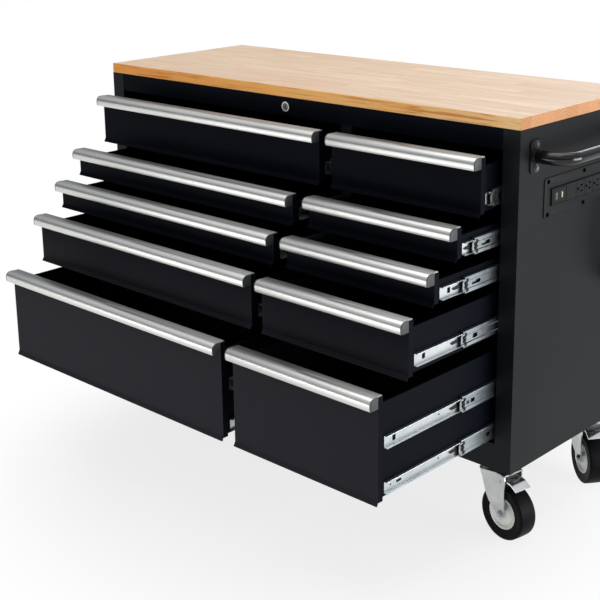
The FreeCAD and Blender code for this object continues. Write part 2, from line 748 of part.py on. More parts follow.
def make_handle():
    """Bent tube on two welded plates, bolted to the right side panel."""
    body = new_body("handle_bar")
    far = s.body_depth - s.handle_inset
    plates = new_sketch(body, "YZ")
    tall = s.flange_height / 2
    corner = s.flange_corner
    wide = s.flange_width / 2
    for middle in (s.handle_inset, far):
        outline(plates, [
            (middle - wide, corner - tall), (middle - wide + corner, -tall),
            (middle + wide - corner, -tall), (middle + wide, corner - tall),
            (middle + wide, tall - corner), (middle + wide - corner, tall),
            (middle - wide + corner, tall), (middle - wide, tall - corner),
        ])
    path = new_sketch(body, "XY")
    reach = s.handle_reach
    turn = s.handle_bend
    open_path(path, [
        (0, s.handle_inset), (reach - turn, s.handle_inset),
        (reach, s.handle_inset + turn, turn), (reach, far - turn),
        (reach - turn, far, turn), (0, far),
    ])
    ring = new_sketch(body, "YZ")
    circle(ring, s.handle_inset, 0, s.handle_tube)
    bar = body.newObject("PartDesign::AdditivePipe", "handle_bar_tube")
    bar.Profile = ring
    bar.Spine = (path, [])
    pad(body, plates, s.flange_thick)
    place(body, s.body_width, size(0), handle_height)
    keep("push_handle", body)
    for middle in (s.handle_inset, far):
        for side in (-1, 1):
            bolt = new_body("handle_bolt")
            head = new_sketch(bolt, "YZ")
            circle(head, 0, 0, s.bolt_head)
            pad(bolt, head, s.bolt_height)
            place(bolt, s.body_width + s.flange_thick, middle,
                  handle_height + side * s.bolt_pitch / 2)
            keep("handle_bolts", bolt)


def open_path(sketch, corners):
    """Open line of runs and arcs, written as outline() writes a closed one."""
    points = [Vector(size(c[0]).value, size(c[1]).value, 0) for c in corners]
    rules = []
    bound = []
    for index, corner in enumerate(corners[1:]):
        begin = points[index]
        end = points[index + 1]
        if len(corner) == 3:
            number = sketch.addGeometry(arc_through(begin, end, size(corner[2]).value), False)
        else:
            number = sketch.addGeometry(Part.LineSegment(begin, end), False)
        turned = (sketch.getPoint(number, 1) - begin).Length > 1e-6
        first, last = (2, 1) if turned else (1, 2)
        if index == 0:
            tie(rules, bound, number, first, corners[0])
        else:
            rules.append(Sketcher.Constraint("Coincident", number - 1, previous, number, first))
        tie(rules, bound, number, last, corner)
        if len(corner) == 3:
            rules.append(Sketcher.Constraint("Radius", number, size(corner[2]).value))
            bound.append((len(rules) - 1, size(corner[2])))
        previous = last
    numbers = sketch.addConstraint(rules)
    for place_in_list, amount in bound:
        bind(sketch, f"Constraints[{numbers[place_in_list]}]", amount)


def tie(rules, bound, number, end, corner):
    """Ties one end of a sketch line to the origin by its two distances."""
    for kind, amount in (("DistanceX", size(corner[0])), ("DistanceY", size(corner[1]))):
        rules.append(Sketcher.Constraint(kind, -1, 1, number, end, amount.value))
        bound.append((len(rules) - 1, amount))


def make_power_panel():
    plate = new_body("panel_plate")
    sketch = new_sketch(plate, "YZ")
    high = s.panel_height / 2
    corner = s.panel_corner
    end = s.panel_length
    outline(sketch, [
        (corner, -high, corner), (end - corner, -high), (end, corner - high, corner),
        (end, high - corner), (end - corner, high, corner),
        (corner, high), (0, high - corner, corner), (0, corner - high),
    ])
    start = (s.panel_length - s.module_length) / 2 - s.seat_gap
    window = s.module_height / 2 + s.seat_gap
    rectangle(sketch, start, -window, start + s.module_length + 2 * s.seat_gap, window)
    pad(plate, sketch, s.panel_thick)
    place(plate, s.body_width, s.panel_start, panel_centre)
    keep("power_panel", plate)
    make_outlet_module()


def make_outlet_module():
    """Strip with two charging ports, three outlets and the window of the switch."""
    body = new_body("outlet_strip")
    high = s.module_height / 2
    sketch = new_sketch(body, "YZ")
    rectangle(sketch, 0, -high, s.module_length, high)
    proud = s.panel_thick + s.module_stand
    pad(body, sketch, s.module_depth + proud)
    holes = new_sketch(body, "YZ", s.module_depth + proud - 6)
    for start in (15.5, 18.9, 37.5, 40.9):
        rectangle(holes, start, -6, start + 1.6, 6)
    for start in (97, 131, 164):
        rectangle(holes, start + 17, 5.3, start + 25, 7.3)
        rectangle(holes, start + 17, -7.3, start + 25, -5.3)
        rectangle(holes, start + 5, -2.4, start + 10, 2.4)
    pocket(body, holes, size(6))
    well = new_sketch(body, "YZ", s.module_depth + proud - 14)
    gap = s.seat_gap
    rocker_start = s.module_length - 23
    rectangle(well, rocker_start - gap, -s.rocker_height / 2 - 1,
              rocker_start + s.rocker_length + gap, s.rocker_height / 2 + 1)
    pocket(body, well, size(14))
    strip_start = s.panel_start + (s.panel_length - s.module_length) / 2
    place(body, s.body_width - s.module_depth, strip_start, panel_centre)
    keep("outlet_module", body)

    rocker = new_body("rocker_key")
    side = new_sketch(rocker, "XZ")
    half = s.rocker_height / 2
    tip = half - 0.6
    outline(side, [(-5, -3), (-5, 3), (0, tip), (3.6, tip), (2, 0), (3.6, -tip), (0, -tip)])
    pad(rocker, side, s.rocker_length)
    pivot = new_sketch(rocker, "XZ", size(-0.2))
    circle(pivot, 0, 0, size(3))
    pad(rocker, pivot, s.rocker_length + 0.4)
    rocker.Placement = Placement(Vector(), Rotation(Vector(0, 1, 0), s.rocker_tilt.value))
    bind(rocker, "Placement.Rotation.Angle", s.rocker_tilt)
    bind(rocker, "Placement.Base.x", s.body_width + proud - 3 - origin_across)
    bind(rocker, "Placement.Base.y", strip_start + rocker_start - origin_back)
    bind(rocker, "Placement.Base.z", panel_centre)
    keep("rocker_switch", rocker)


def make_wheel(name, across, back, turn=None):
    """Tyre on a dished disc with a long hub; the profile is turned about the axle."""
    trail = trail_of(turn)
    for part, half_profile in (("core", core_profile()), ("tyre", tyre_profile())):
        body = new_body(f"{name}_{part}")
        sketch = new_sketch(body, "YZ")
        outline(sketch, half_profile)
        turned = body.newObject("PartDesign::Revolution", f"{name}_{part}_turned")
        turned.Profile = sketch
        turned.ReferenceAxis = (sketch, ["H_Axis"])
        turned.Angle = 360
        place(body, across + trail[0], back + trail[1], axle_height, turn)
        keep(name, body)


def trail_of(turn):
    """Way from a caster's middle to its axle; a rigid caster has none."""
    if turn is None:
        return size(0), size(0)
    angle = math.radians(turn.value)
    ahead = Size(math.cos(angle), f"cos({turn.text})")
    aside = Size(math.sin(angle), f"sin({turn.text})")
    return s.caster_trail * ahead, s.caster_trail * aside


def core_profile():
    bore = s.axle_dia / 2 + s.turn_gap
    boss = s.boss_dia / 2
    rim = s.hub_dia / 2
    disc = s.disc_width / 2
    hub = s.hub_length / 2
    return [(-hub, bore), (hub, bore), (hub, boss), (disc - 6, boss + 6), (disc, rim),
            (-disc, rim), (6 - disc, boss + 6), (-hub, boss)]


def tyre_profile():
    rim = s.hub_dia / 2
    tread = s.wheel_dia / 2
    wide = s.wheel_width / 2
    bevel = s.wheel_bevel
    return [(-wide, rim), (wide, rim), (wide, tread - bevel), (wide - bevel, tread),
            (bevel - wide, tread), (-wide, tread - bevel)]


def make_axle(node, name, across, back, turn=None):
    """Axle bolt with its head and nut outside the fork legs."""
    body = new_body(name)
    rod = new_sketch(body, "XZ")
    circle(rod, 0, 0, s.axle_dia)
    pad(body, rod, fork_outside, both_ways=True)
    for start in (-fork_outside / 2 - s.axle_head_height, fork_outside / 2):
        head = new_sketch(body, "XZ", start)
        r = s.axle_head / 2
        slope = r * 0.866
        outline(head, [(r, 0), (r / 2, slope), (-r / 2, slope), (-r, 0), (-r / 2, -slope),
                       (r / 2, -slope)])
        pad(body, head, s.axle_head_height)
    trail = trail_of(turn)
    place(body, across + trail[0], back + trail[1], axle_height, turn)
    keep(node, body)


def fork_legs(body, corners, top):
    """Two legs under a crown: a block with the given outline, opened below the crown."""
    sketch = new_sketch(body, "XZ")
    outline(sketch, corners)
    pad(body, sketch, fork_outside, both_ways=True)
    space = new_sketch(body, "XZ")
    rectangle(space, -s.fork_width, 0, s.fork_width + s.caster_trail, top - s.fork_sheet)
    pocket(body, space, fork_inside, both_ways=True)


def make_swivel_caster(end, back, turn):
    across = s.body_width - s.caster_inset
    fork = new_body(f"{end}_fork")
    front_edge = s.fork_width * 0.6
    rear_edge = s.fork_width - front_edge
    axle = s.caster_trail
    fork_legs(fork, [
        (-rear_edge, s.crown_top), (-rear_edge, s.crown_top - 12),
        (axle - 11, axle_height - 4), (axle + 11, axle_height - 4, 12),
        (front_edge, s.crown_top - 18), (front_edge, s.crown_top),
    ], s.crown_top)
    bores = new_sketch(fork, "XZ")
    circle(bores, axle, axle_height, s.axle_dia + 2 * s.turn_gap)
    circle(bores, s.pedal_pin_forward, s.pedal_pin_height, s.pedal_pin + 2 * s.turn_gap)
    pocket(fork, bores, fork_outside + 2, both_ways=True)
    race = new_sketch(fork, "XY", s.crown_top)
    circle(race, 0, 0, s.race_dia)
    pad(fork, race, s.race_height)
    bore = new_sketch(fork, "XY", s.crown_top - 2 * s.fork_sheet)
    circle(bore, 0, 0, s.kingpin_dia + 2 * s.turn_gap)
    pocket(fork, bore, s.race_height + 3 * s.fork_sheet)
    place(fork, across, back, size(0), turn)
    node = f"{end}_swivel_fork"
    keep(node, fork)
    make_axle(node, f"{end}_axle", across, back, turn)
    pin = new_body(f"{end}_pedal_pin")
    rod = new_sketch(pin, "XZ")
    circle(rod, s.pedal_pin_forward, s.pedal_pin_height, s.pedal_pin)
    pad(pin, rod, fork_outside, both_ways=True)
    place(pin, across, back, size(0), turn)
    keep(node, pin)
    make_wheel(f"{end}_right_wheel", across, back, turn)
    make_pedal(end, across, back, turn)
    make_caster_plate(end, across, back)


def make_pedal(end, across, back, turn):
    """Bent pedal over the tyre, on a barrel round its pivot pin."""
    body = new_body(f"{end}_pedal")
    x = s.pedal_pin_forward
    z = s.pedal_pin_height
    sheet = s.pedal_sheet
    barrel = s.pedal_pin / 2 + sheet
    side = new_sketch(body, "XZ")
    outline(side, [
        (x - barrel * 0.5, z + barrel * 0.85), (x - barrel, z), (x, z - barrel),
        (x + 14, z - 13), (x + 42, z - 19), (x + 47, z - 16),
        (x + 42, z - 19 + sheet), (x + 14, z - 13 + 2 * sheet), (x + barrel, z),
        (x + barrel * 0.5, z + barrel * 0.85),
    ])
    pad(body, side, s.pedal_width, both_ways=True)
    bore = new_sketch(body, "XZ")
    circle(bore, x, z, s.pedal_pin + 2 * s.turn_gap)
    pocket(body, bore, s.pedal_width + 2, both_ways=True)
    place(body, across, back, size(0), turn)
    keep(f"{end}_brake_pedal", body)


def make_caster_plate(end, across, back):
    """Top plate with the upper race and the swivel pin, whose head holds the fork up."""
    body = new_body(f"{end}_plate")
    top = new_sketch(body, "XY", s.body_bottom - s.plate_thick)
    rectangle(top, -s.plate_length / 2, -s.plate_width / 2, s.plate_length / 2,
              s.plate_width / 2)
    pad(body, top, s.plate_thick)
    cup_low = s.crown_top + s.race_height + s.seat_gap
    cup = new_sketch(body, "XY", cup_low)
    circle(cup, 0, 0, s.cup_dia)
    pad(body, cup, s.body_bottom - s.plate_thick - cup_low)
    head_top = s.crown_top - s.fork_sheet - s.seat_gap
    pin = new_sketch(body, "XY", head_top)
    circle(pin, 0, 0, s.kingpin_dia)
    pad(body, pin, cup_low - head_top)
    head = new_sketch(body, "XY", head_top - 4)
    circle(head, 0, 0, s.kingpin_dia * 1.6)
    pad(body, head, size(4))
    place(body, across, back, size(0))
    keep("caster_plates", body)


def make_rigid_caster(end, back):
    across = s.caster_inset
    body = new_body(f"{end}_rigid_fork")
    wide = s.fork_width / 2
    top = s.body_bottom
    fork_legs(body, [
        (-wide, top), (-wide, top - 30), (-11, axle_height - 4), (11, axle_height - 4, 12),
        (wide, top - 30), (wide, top),
    ], top)
    bores = new_sketch(body, "XZ")
    circle(bores, 0, axle_height, s.axle_dia + 2 * s.turn_gap)
    pocket(body, bores, fork_outside + 2, both_ways=True)
    plate = new_sketch(body, "XY", top - s.plate_thick)
    rectangle(plate, -s.plate_length / 2, -s.plate_width / 2, s.plate_length / 2,
              s.plate_width / 2)
    pad(body, plate, s.plate_thick)
    place(body, across, back, size(0))
    keep("rigid_caster_forks", body)
    make_axle("rigid_caster_forks", f"{end}_left_axle", across, back)
    make_wheel(f"{end}_left_wheel", across, back)


def biarc(start, start_way, end, end_way):
    """Two tangent arcs from one point and direction to another."""
    span = end - start
    both = start_way + end_way
    a = 2 * (1 - start_way.dot(end_way))
    b = 2 * span.dot(both)
    c = -span.dot(span)
    if abs(a) < 1e-9:
        reach = -c / b
    else:
        reach = (-b + math.sqrt(b * b - 4 * a * c)) / (2 * a)
    joint = (start + end + (start_way - end_way) * reach) * 0.5
    return [arc_from(start, start_way, joint), arc_from(end, end_way * -1, joint, True)]


def arc_from(start, way, end, backwards=False):
    """Arc or run that leaves start along way and reaches end, or the same drawn backwards."""
    chord = end - start
    aside = chord - way * chord.dot(way)
    if backwards:
        first, last = end, start
    else:
        first, last = start, end
    if aside.Length < 1e-6:
        return Part.LineSegment(first, last).toShape()
    aside.normalize()
    radius = chord.dot(chord) / (2 * chord.dot(aside))
    centre = start + aside * radius
    middle = centre + ((start - centre) + (end - centre)).normalize() * abs(radius)
    return Part.Arc(first, middle, last).toShape()


def coil_stations():
    """Points and directions at each quarter of the hanging coil, from its lower end."""
    d = s.cord_dia.value
    step = s.coil_step.value
    half_width = s.coil_width.value / 2 - d / 2
    half_height = s.coil_height.value / 2 - d / 2
    stations = []
    quarters = 15
    middle = 8
    for index in range(quarters + 1):
        drawn_in = step * (middle - abs(index - middle)) / 4
        layer = min(max(index - middle + 1, 0), 2) / 2
        out = s.coil_stand.value + step * layer
        if index > quarters - 3:
            out += 0.5 * step * (index - quarters + 3)
        angle = math.radians(90 * index)
        y = -math.sin(angle) * (half_width - drawn_in)
        z = -math.cos(angle) * (half_height - drawn_in)
        stations.append(Vector(out, y, z))
    return stations


def make_cord():
    """Lead out of the side panel, the coil on its hook and the plug on the free end."""
    base = Vector((s.body_width - origin_across).value,
                  (s.coil_centre_back - origin_back).value, coil_height_centre.value)
    d = s.cord_dia.value
    points = coil_stations()
    ways = []
    for index in range(len(points)):
        before = points[max(index - 1, 0)]
        after = points[min(index + 1, len(points) - 1)]
        angle = math.radians(90 * index)
        way = Vector(0, -math.cos(angle), math.sin(angle))
        slope = (after.x - before.x) / (after - before).Length
        if 0 < index < len(points) - 1:
            way.x = slope
        ways.append(way.normalize())
    edges = [Part.LineSegment(points[0] - ways[0] * d, points[0]).toShape()]
    for index in range(len(points) - 1):
        edges += biarc(points[index], ways[index], points[index + 1], ways[index + 1])
    edges.append(Part.LineSegment(points[-1], points[-1] + ways[-1] * d).toShape())
    length = sum(edge.Length for edge in edges)
    tightest = min(edge.Curve.Radius for edge in edges if hasattr(edge.Curve, "Radius"))
    print("coil: length", round(length), "tightest radius", round(tightest, 1))
    print("coil: least gap to itself", round(least_gap(edges, d), 2))
    begin = points[0] - ways[0] * d
    spine = Part.Wire(Part.__sortEdges__(edges))
    ring = Part.Wire(Part.Circle(begin, ways[0], d / 2).toShape())
    tube = spine.makePipeShell([ring], True, False)
    print("coil: volume over section times length",
          round(tube.Volume / (math.pi * d * d / 4 * length), 4))
    add_shape("power_cord_coil", tube, base)

    mouth = begin - ways[0] * 24
    lead = Part.makeCylinder(d / 2, 24, mouth, ways[0])
    add_shape("power_cord_lead", lead, base)
    grip = make_grip(mouth, d)
    add_shape("cord_grip", grip, base)
    end = points[-1] + ways[-1] * d
    add_shape("power_plug", make_plug(end, ways[-1], d), base)


def least_gap(edges, diameter):
    """Smallest clear distance between stretches of the coil that aren't neighbours."""
    samples = []
    travelled = 0
    for edge in edges:
        count = max(int(edge.Length / 4), 2)
        for step in range(count):
            part_way = edge.FirstParameter + (edge.LastParameter - edge.FirstParameter) * step / count
            samples.append((travelled + edge.Length * step / count, edge.valueAt(part_way)))
        travelled += edge.Length
    least = 1e9
    for first, (along, point) in enumerate(samples):
        for further, other in samples[first + 1:]:
            if further - along > 8 * diameter:
                least = min(least, (other - point).Length - diameter)
    return least


def make_grip(mouth, diameter):
    """Elbow strain relief: a round foot on the side panel and a spout towards the front."""
    spout_length = diameter * 3
    across = Vector(1, 0, 0)
    on_panel = Vector(0, mouth.y + spout_length, mouth.z)
    foot = Part.makeCylinder(diameter * 1.6, 4, on_panel, across)
    neck = Part.makeCylinder(diameter * 1.1, mouth.x + diameter * 1.1, on_panel, across)
    spout = Part.makeCone(diameter * 0.95, diameter * 0.65, spout_length,
                          on_panel + across * mouth.x, Vector(0, -1, 0))
    return foot.fuse(neck).fuse(spout)


def make_plug(end, way, diameter):
    """Moulded plug: tapered relief, body and three pins."""
    relief = Part.makeCone(diameter * 0.75, diameter, 26, end, way)
    start = end + way * 26
    body = Part.makeCone(diameter * 1.2, diameter * 1.5, 26, start, way)
    face = start + way * 26
    pins = []
    for across, up in ((-6.3, 3), (6.3, 3)):
        pins.append(Part.makeBox(1.5, 6.3, 16, face + Vector(across - 0.75, up - 3, -16)))
    pins.append(Part.makeCylinder(2.4, 19, face + Vector(0, -8.5, -19), Vector(0, 0, 1)))
    plug = relief.fuse(body)
    for pin in pins:
        plug = plug.fuse(pin)
    return plug


def make_hook():
    """Rod bent up at its end, welded to a small plate on the side panel."""
    d = s.hook_rod.value
    inner_top = s.coil_height.value / 2 - 1.5 * s.coil_step.value - s.cord_dia.value
    z = inner_top - d / 2 - s.seat_gap.value
    reach = s.hook_reach.value
    plate = Part.makeBox(s.flange_thick.value, 24, 44, Vector(0, -12, z - 22))
    bend = 12
    rise = 14
    path = Part.Wire([
        Part.LineSegment(Vector(0, 0, z), Vector(reach - bend, 0, z)).toShape(),
        arc_from(Vector(reach - bend, 0, z), Vector(1, 0, 0), Vector(reach, 0, z + bend)),
        Part.LineSegment(Vector(reach, 0, z + bend), Vector(reach, 0, z + bend + rise)).toShape(),
    ])
    ring = Part.Wire(Part.Circle(Vector(0, 0, z), Vector(1, 0, 0), d / 2).toShape())
    rod = path.makePipeShell([ring], True, False)
    base = Vector((s.body_width - origin_across).value,
                  (s.coil_centre_back - origin_back).value, coil_height_centre.value)
    add_shape("cord_hook", plate.fuse(rod), base)


def add_shape(node, shape, base):
    """A sub-part whose shape comes straight from the functions above."""
    feature = doc.addObject("Part::Feature", f"{node}_shape")
    feature.Shape = shape
    feature.Placement = Placement(base, Rotation())
    keep(node, feature)


def make_everything():
    make_worktop()
    make_side_panel("left")
    make_side_panel("right")
    make_back_panel()
    make_base_pan()
    make_front_rail()
    make_divider()
    for drawer in drawers:
        make_tray(drawer)
        make_pull(drawer)
        make_runners(drawer)
    make_lock()
    make_handle()
    make_power_panel()
    make_swivel_caster("front", s.caster_back, s.front_turn)
    make_swivel_caster("rear", s.body_depth - s.caster_back, s.rear_turn)
    make_rigid_caster("front", s.caster_back)
    make_rigid_caster("rear", s.body_depth - s.caster_back)
    make_hook()
    make_cord()


def check_objects():
    """Stops with the names of failed objects; a failed feature doesn't raise by itself."""
    failed = [o.Name for o in doc.Objects if "Invalid" in o.State or "Error" in o.State]
    if failed:
        raise RuntimeError(f"failed objects: {failed[:12]}")


def gather(node, parts):
    """One document object per sub-part, labelled with the sub-part's name."""
    if len(parts) == 1:
        parts[0].Label = node
        return parts[0]
    group = doc.addObject("Part::Compound", f"{node}_solids")
    group.Links = parts
    group.Label = node
    return group


make_everything()
doc.recompute()
check_objects()
sub_parts = [gather(node, parts) for node, parts in pieces.items()]
doc.recompute()
check_objects()
os.makedirs("parts", exist_ok=True)
for part in sub_parts:
    shape = part.Shape
    if shape.isNull() or not shape.isValid():
        raise RuntimeError(f"{part.Label} has no valid shape")
    shape.exportStep(f"parts/{part.Label}.step")
print(len(sub_parts), "sub-parts written")
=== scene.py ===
# %% [markdown]
# A rolling tool cabinet, dressed for the camera.
# The steel, wood and wheels come packed from the CAD model and already stand in the right
# place. This notebook keeps the solids that look right, gives them finishes, and builds the
# parts that deserve more shape than a plain solid has: the aluminium pulls, the runners,
# the wheels, the push handle, the power panel and the cord.

import math

import bmesh
import bpy
from mathutils import Matrix, Vector
from mathutils.geometry import tessellate_polygon


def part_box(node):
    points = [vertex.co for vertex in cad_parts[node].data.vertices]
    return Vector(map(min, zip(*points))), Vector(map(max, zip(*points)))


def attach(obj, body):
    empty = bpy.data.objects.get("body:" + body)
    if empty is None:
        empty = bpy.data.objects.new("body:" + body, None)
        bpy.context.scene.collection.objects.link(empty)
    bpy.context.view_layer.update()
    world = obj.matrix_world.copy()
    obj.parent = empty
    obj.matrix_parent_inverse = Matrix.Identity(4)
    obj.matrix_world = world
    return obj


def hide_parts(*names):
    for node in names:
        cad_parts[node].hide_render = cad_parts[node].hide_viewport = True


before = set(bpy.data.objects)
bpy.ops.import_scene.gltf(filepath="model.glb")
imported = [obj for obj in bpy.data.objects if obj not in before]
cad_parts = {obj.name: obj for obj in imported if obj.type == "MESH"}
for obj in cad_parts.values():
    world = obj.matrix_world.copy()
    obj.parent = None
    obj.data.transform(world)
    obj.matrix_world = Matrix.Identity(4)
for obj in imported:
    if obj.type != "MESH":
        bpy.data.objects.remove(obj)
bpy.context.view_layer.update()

# %% [markdown]
# Sizes are written in millimetres, measured as a cabinet maker would: across from the left
# side panel, back from the front face and up from the floor. One helper turns them into
# Blender's metres, so every number below can be checked against the real cabinet.

# %% Where a millimetre measure lies in the scene
ORIGIN_ACROSS = 704.5
ORIGIN_BACK = 36.5


def in_scene(across, back, up):
    return Vector(((across - ORIGIN_ACROSS) / 1000, (back - ORIGIN_BACK) / 1000, up / 1000))


# %% [markdown]
# The camera comes first. Its place was found by matching the corners, drawer fronts and
# pulls of the photograph to the cabinet's sizes. The photograph was cropped from a larger
# picture, so the lens axis is not in the middle: a small shift does what the crop did.

# %% Camera
CAMERA_PLACE = in_scene(2682.89, -2076.19, 1430.8)
CAMERA_YAW = math.radians(44.39)
CAMERA_PITCH = math.radians(14.77)
CAMERA_ROLL = math.radians(1.02)
PICTURE_SIDE = 600
LENS_IN_PIXELS = 1229.33
AXIS_FROM_LEFT, AXIS_FROM_TOP = 285.12, 210
SENSOR_WIDTH = 36

camera_data = bpy.data.cameras.new("camera")
camera = bpy.data.objects.new("camera", camera_data)
bpy.context.scene.collection.objects.link(camera)
ahead = Vector((-math.sin(CAMERA_YAW) * math.cos(CAMERA_PITCH),
                math.cos(CAMERA_YAW) * math.cos(CAMERA_PITCH), -math.sin(CAMERA_PITCH)))
level_right = Vector((math.cos(CAMERA_YAW), math.sin(CAMERA_YAW), 0))
level_down = ahead.cross(level_right)
right = level_right * math.cos(CAMERA_ROLL) + level_down * math.sin(CAMERA_ROLL)
down = level_down * math.cos(CAMERA_ROLL) - level_right * math.sin(CAMERA_ROLL)
turn = Matrix((right, -down, -ahead)).transposed()
camera.matrix_world = Matrix.Translation(CAMERA_PLACE) @ turn.to_4x4()
camera_data.sensor_width = SENSOR_WIDTH
camera_data.lens = LENS_IN_PIXELS * SENSOR_WIDTH / PICTURE_SIDE
camera_data.shift_x = (PICTURE_SIDE / 2 - AXIS_FROM_LEFT) / PICTURE_SIDE
camera_data.shift_y = (AXIS_FROM_TOP - PICTURE_SIDE / 2) / PICTURE_SIDE
bpy.context.scene.camera = camera
print("lens:", round(camera_data.lens, 1), "mm")

# %% [markdown]
# A finish is a small network of nodes. Short helpers keep the networks readable: they start
# a material, add a node with its settings, and give the usual noise, ramp, sum and mix.
# All patterns read Object coordinates, which are metres in the cabinet's own space, so a
# grain of one millimetre is a noise of scale one thousand.


# %% Helpers for finishes
def new_finish(name):
    finish = bpy.data.materials.new(name)
    finish.use_nodes = True
    return finish, finish.node_tree, finish.node_tree.nodes["Principled BSDF"]


def add_node(tree, kind, settings=None, values=None):
    node = tree.nodes.new(kind)
    for name, value in (settings or {}).items():
        setattr(node, name, value)
    for name, value in (values or {}).items():
        node.inputs[name].default_value = value
    return node


def place_in_metres(tree):
    return add_node(tree, "ShaderNodeTexCoord").outputs["Object"]


def stretched(tree, scale, shift=(0, 0, 0)):
    mapping = add_node(tree, "ShaderNodeMapping", values={"Scale": scale, "Location": shift})
    tree.links.new(place_in_metres(tree), mapping.inputs["Vector"])
    return mapping.outputs["Vector"]


def noise(tree, vector, scale, detail=2.0, roughness=0.5):
    node = add_node(tree, "ShaderNodeTexNoise",
                    values={"Scale": scale, "Detail": detail, "Roughness": roughness})
    tree.links.new(vector, node.inputs["Vector"])
    return node.outputs["Fac"]


def ramp(tree, factor, stops):
    node = add_node(tree, "ShaderNodeValToRGB")
    elements = node.color_ramp.elements
    while len(elements) < len(stops):
        elements.new(0.5)
    for element, (position, colour) in zip(elements, stops):
        element.position = position
        element.color = (*colour, 1)
    tree.links.new(factor, node.inputs["Fac"])
    return node.outputs["Color"]


def levels(tree, factor, low, high, start=0.0, stop=1.0, curve="LINEAR"):
    """Turns start into low and stop into high, and what lies between in between."""
    node = add_node(tree, "ShaderNodeMapRange", {"interpolation_type": curve},
                    {"From Min": start, "From Max": stop, "To Min": low, "To Max": high})
    tree.links.new(factor, node.inputs["Value"])
    return node.outputs["Result"]


def bumped(tree, shader, height, depth, strength):
    node = add_node(tree, "ShaderNodeBump", values={"Strength": strength, "Distance": depth})
    tree.links.new(height, node.inputs["Height"])
    tree.links.new(node.outputs["Normal"], shader.inputs["Normal"])


# %% [markdown]
# Some patterns need a little reckoning: counting staves, picking the faces that look one
# way, mixing two colours by a share. These helpers write such sums in one line each.


# %% Helpers that reckon in a finish
def maths(tree, operation, first, second=None):
    """A sum of two things, each a number or the output of a node."""
    node = add_node(tree, "ShaderNodeMath", {"operation": operation})
    for socket, value in zip(node.inputs, (first, second)):
        if isinstance(value, (int, float)):
            socket.default_value = value
        elif value is not None:
            tree.links.new(value, socket)
    return node.outputs[0]


def mixed(tree, factor, first, second):
    """A mix of two colours, each a fixed one or the output of a node."""
    node = add_node(tree, "ShaderNodeMix", {"data_type": "RGBA"})
    tree.links.new(factor, node.inputs[0])
    colours_in = [socket for socket in node.inputs if socket.type == "RGBA"]
    for socket, value in zip(colours_in, (first, second)):
        if isinstance(value, tuple):
            socket.default_value = (*value, 1)
        else:
            tree.links.new(value, socket)
    return [socket for socket in node.outputs if socket.type == "RGBA"][0]


def separated(tree, vector):
    """The three numbers of a vector."""
    node = add_node(tree, "ShaderNodeSeparateXYZ")
    tree.links.new(vector, node.inputs[0])
    return node.outputs


def combined(tree, *numbers):
    """A vector of three numbers, where None leaves a 0."""
    node = add_node(tree, "ShaderNodeCombineXYZ")
    for number, socket in zip(numbers, node.inputs):
        if number is not None:
            tree.links.new(number, socket)
    return node.outputs[0]


# %% [markdown]
# Powder coat is a baked plastic skin. It is never quite flat: the powder melts into a fine
# orange-peel ripple of about a millimetre. A noise drives a tiny bump for it, and a wide,
# slow noise makes the black a little uneven, as it is on large folded sheets.


# %% Powder-coated steel
def powder_coat(name, dark, light, roughness, gloss):
    finish, tree, shader = new_finish(name)
    wide = noise(tree, place_in_metres(tree), 3.5, 3)
    tree.links.new(ramp(tree, wide, [(0.3, dark), (0.75, light)]), shader.inputs["Base Color"])
    patches = noise(tree, place_in_metres(tree), 240, 3)
    tree.links.new(levels(tree, patches, roughness - 0.05, roughness + 0.07),
                   shader.inputs["Roughness"])
    shader.inputs["Specular IOR Level"].default_value = gloss
    peel = noise(tree, place_in_metres(tree), 900, 2)
    bumped(tree, shader, peel, 0.00025, 0.35)
    return finish


CARCASS_PAINT = powder_coat("carcass_paint", (0.0050, 0.0060, 0.0070), (0.0076, 0.0088, 0.0096),
                            0.44, 0.11)
# The drawer paint, which the front rail gets too, is darker and bluer than the carcass paint:
# painted shade on the faces that look forwards.
DRAWER_PAINT = powder_coat("drawer_paint", (0.0020, 0.0028, 0.0056), (0.0030, 0.0040, 0.0074),
                           0.5, 0.035)
HANDLE_PAINT = powder_coat("handle_paint", (0.0030, 0.0030, 0.0034), (0.0050, 0.0050, 0.0054),
                           0.11, 0.42)
BRACKET_PAINT = powder_coat("bracket_paint", (0.0030, 0.0032, 0.0036), (0.0050, 0.0052, 0.0056),
                            0.4, 0.14)
print("paints made: 4")

# %% [markdown]
# The fronts of the lowest row look greyer than the others, from the light that the floor
# throws on them. A lamp that does this would wash out the pulls, so the paint does it: it
# is mixed with a grey where a face looks forwards and lies low. A drawer only slides back
# and forth, so the grey stays where it is.


# %% Greyer paint on the low fronts
LOW_FRONT_GREY = (0.0215, 0.0208, 0.0250)
GREY_STARTS_UP, GREY_FULL_UP = 0.60, 0.47
FACING_STARTS, FACING_FULL = -0.5, -0.9


def grey_low_fronts(finish):
    tree = finish.node_tree
    base = tree.nodes["Principled BSDF"].inputs["Base Color"]
    coordinates = add_node(tree, "ShaderNodeTexCoord")
    up = separated(tree, coordinates.outputs["Object"])["Z"]
    facing = separated(tree, coordinates.outputs["Normal"])["Y"]
    share = maths(tree, "MULTIPLY", levels(tree, up, 0, 1, GREY_STARTS_UP, GREY_FULL_UP),
                  levels(tree, facing, 0, 1, FACING_STARTS, FACING_FULL))
    tree.links.new(mixed(tree, share, base.links[0].from_socket, LOW_FRONT_GREY), base)


grey_low_fronts(DRAWER_PAINT)
print("fronts are greyer below", GREY_STARTS_UP, "m")

# %% [markdown]
# The pulls are extruded aluminium with a satin anodised skin. Satin metal is drawn along
# its length, so the streaks are a noise that is stretched along X. The colour hardly
# changes; the roughness does, and that is what spreads a highlight into soft bands.


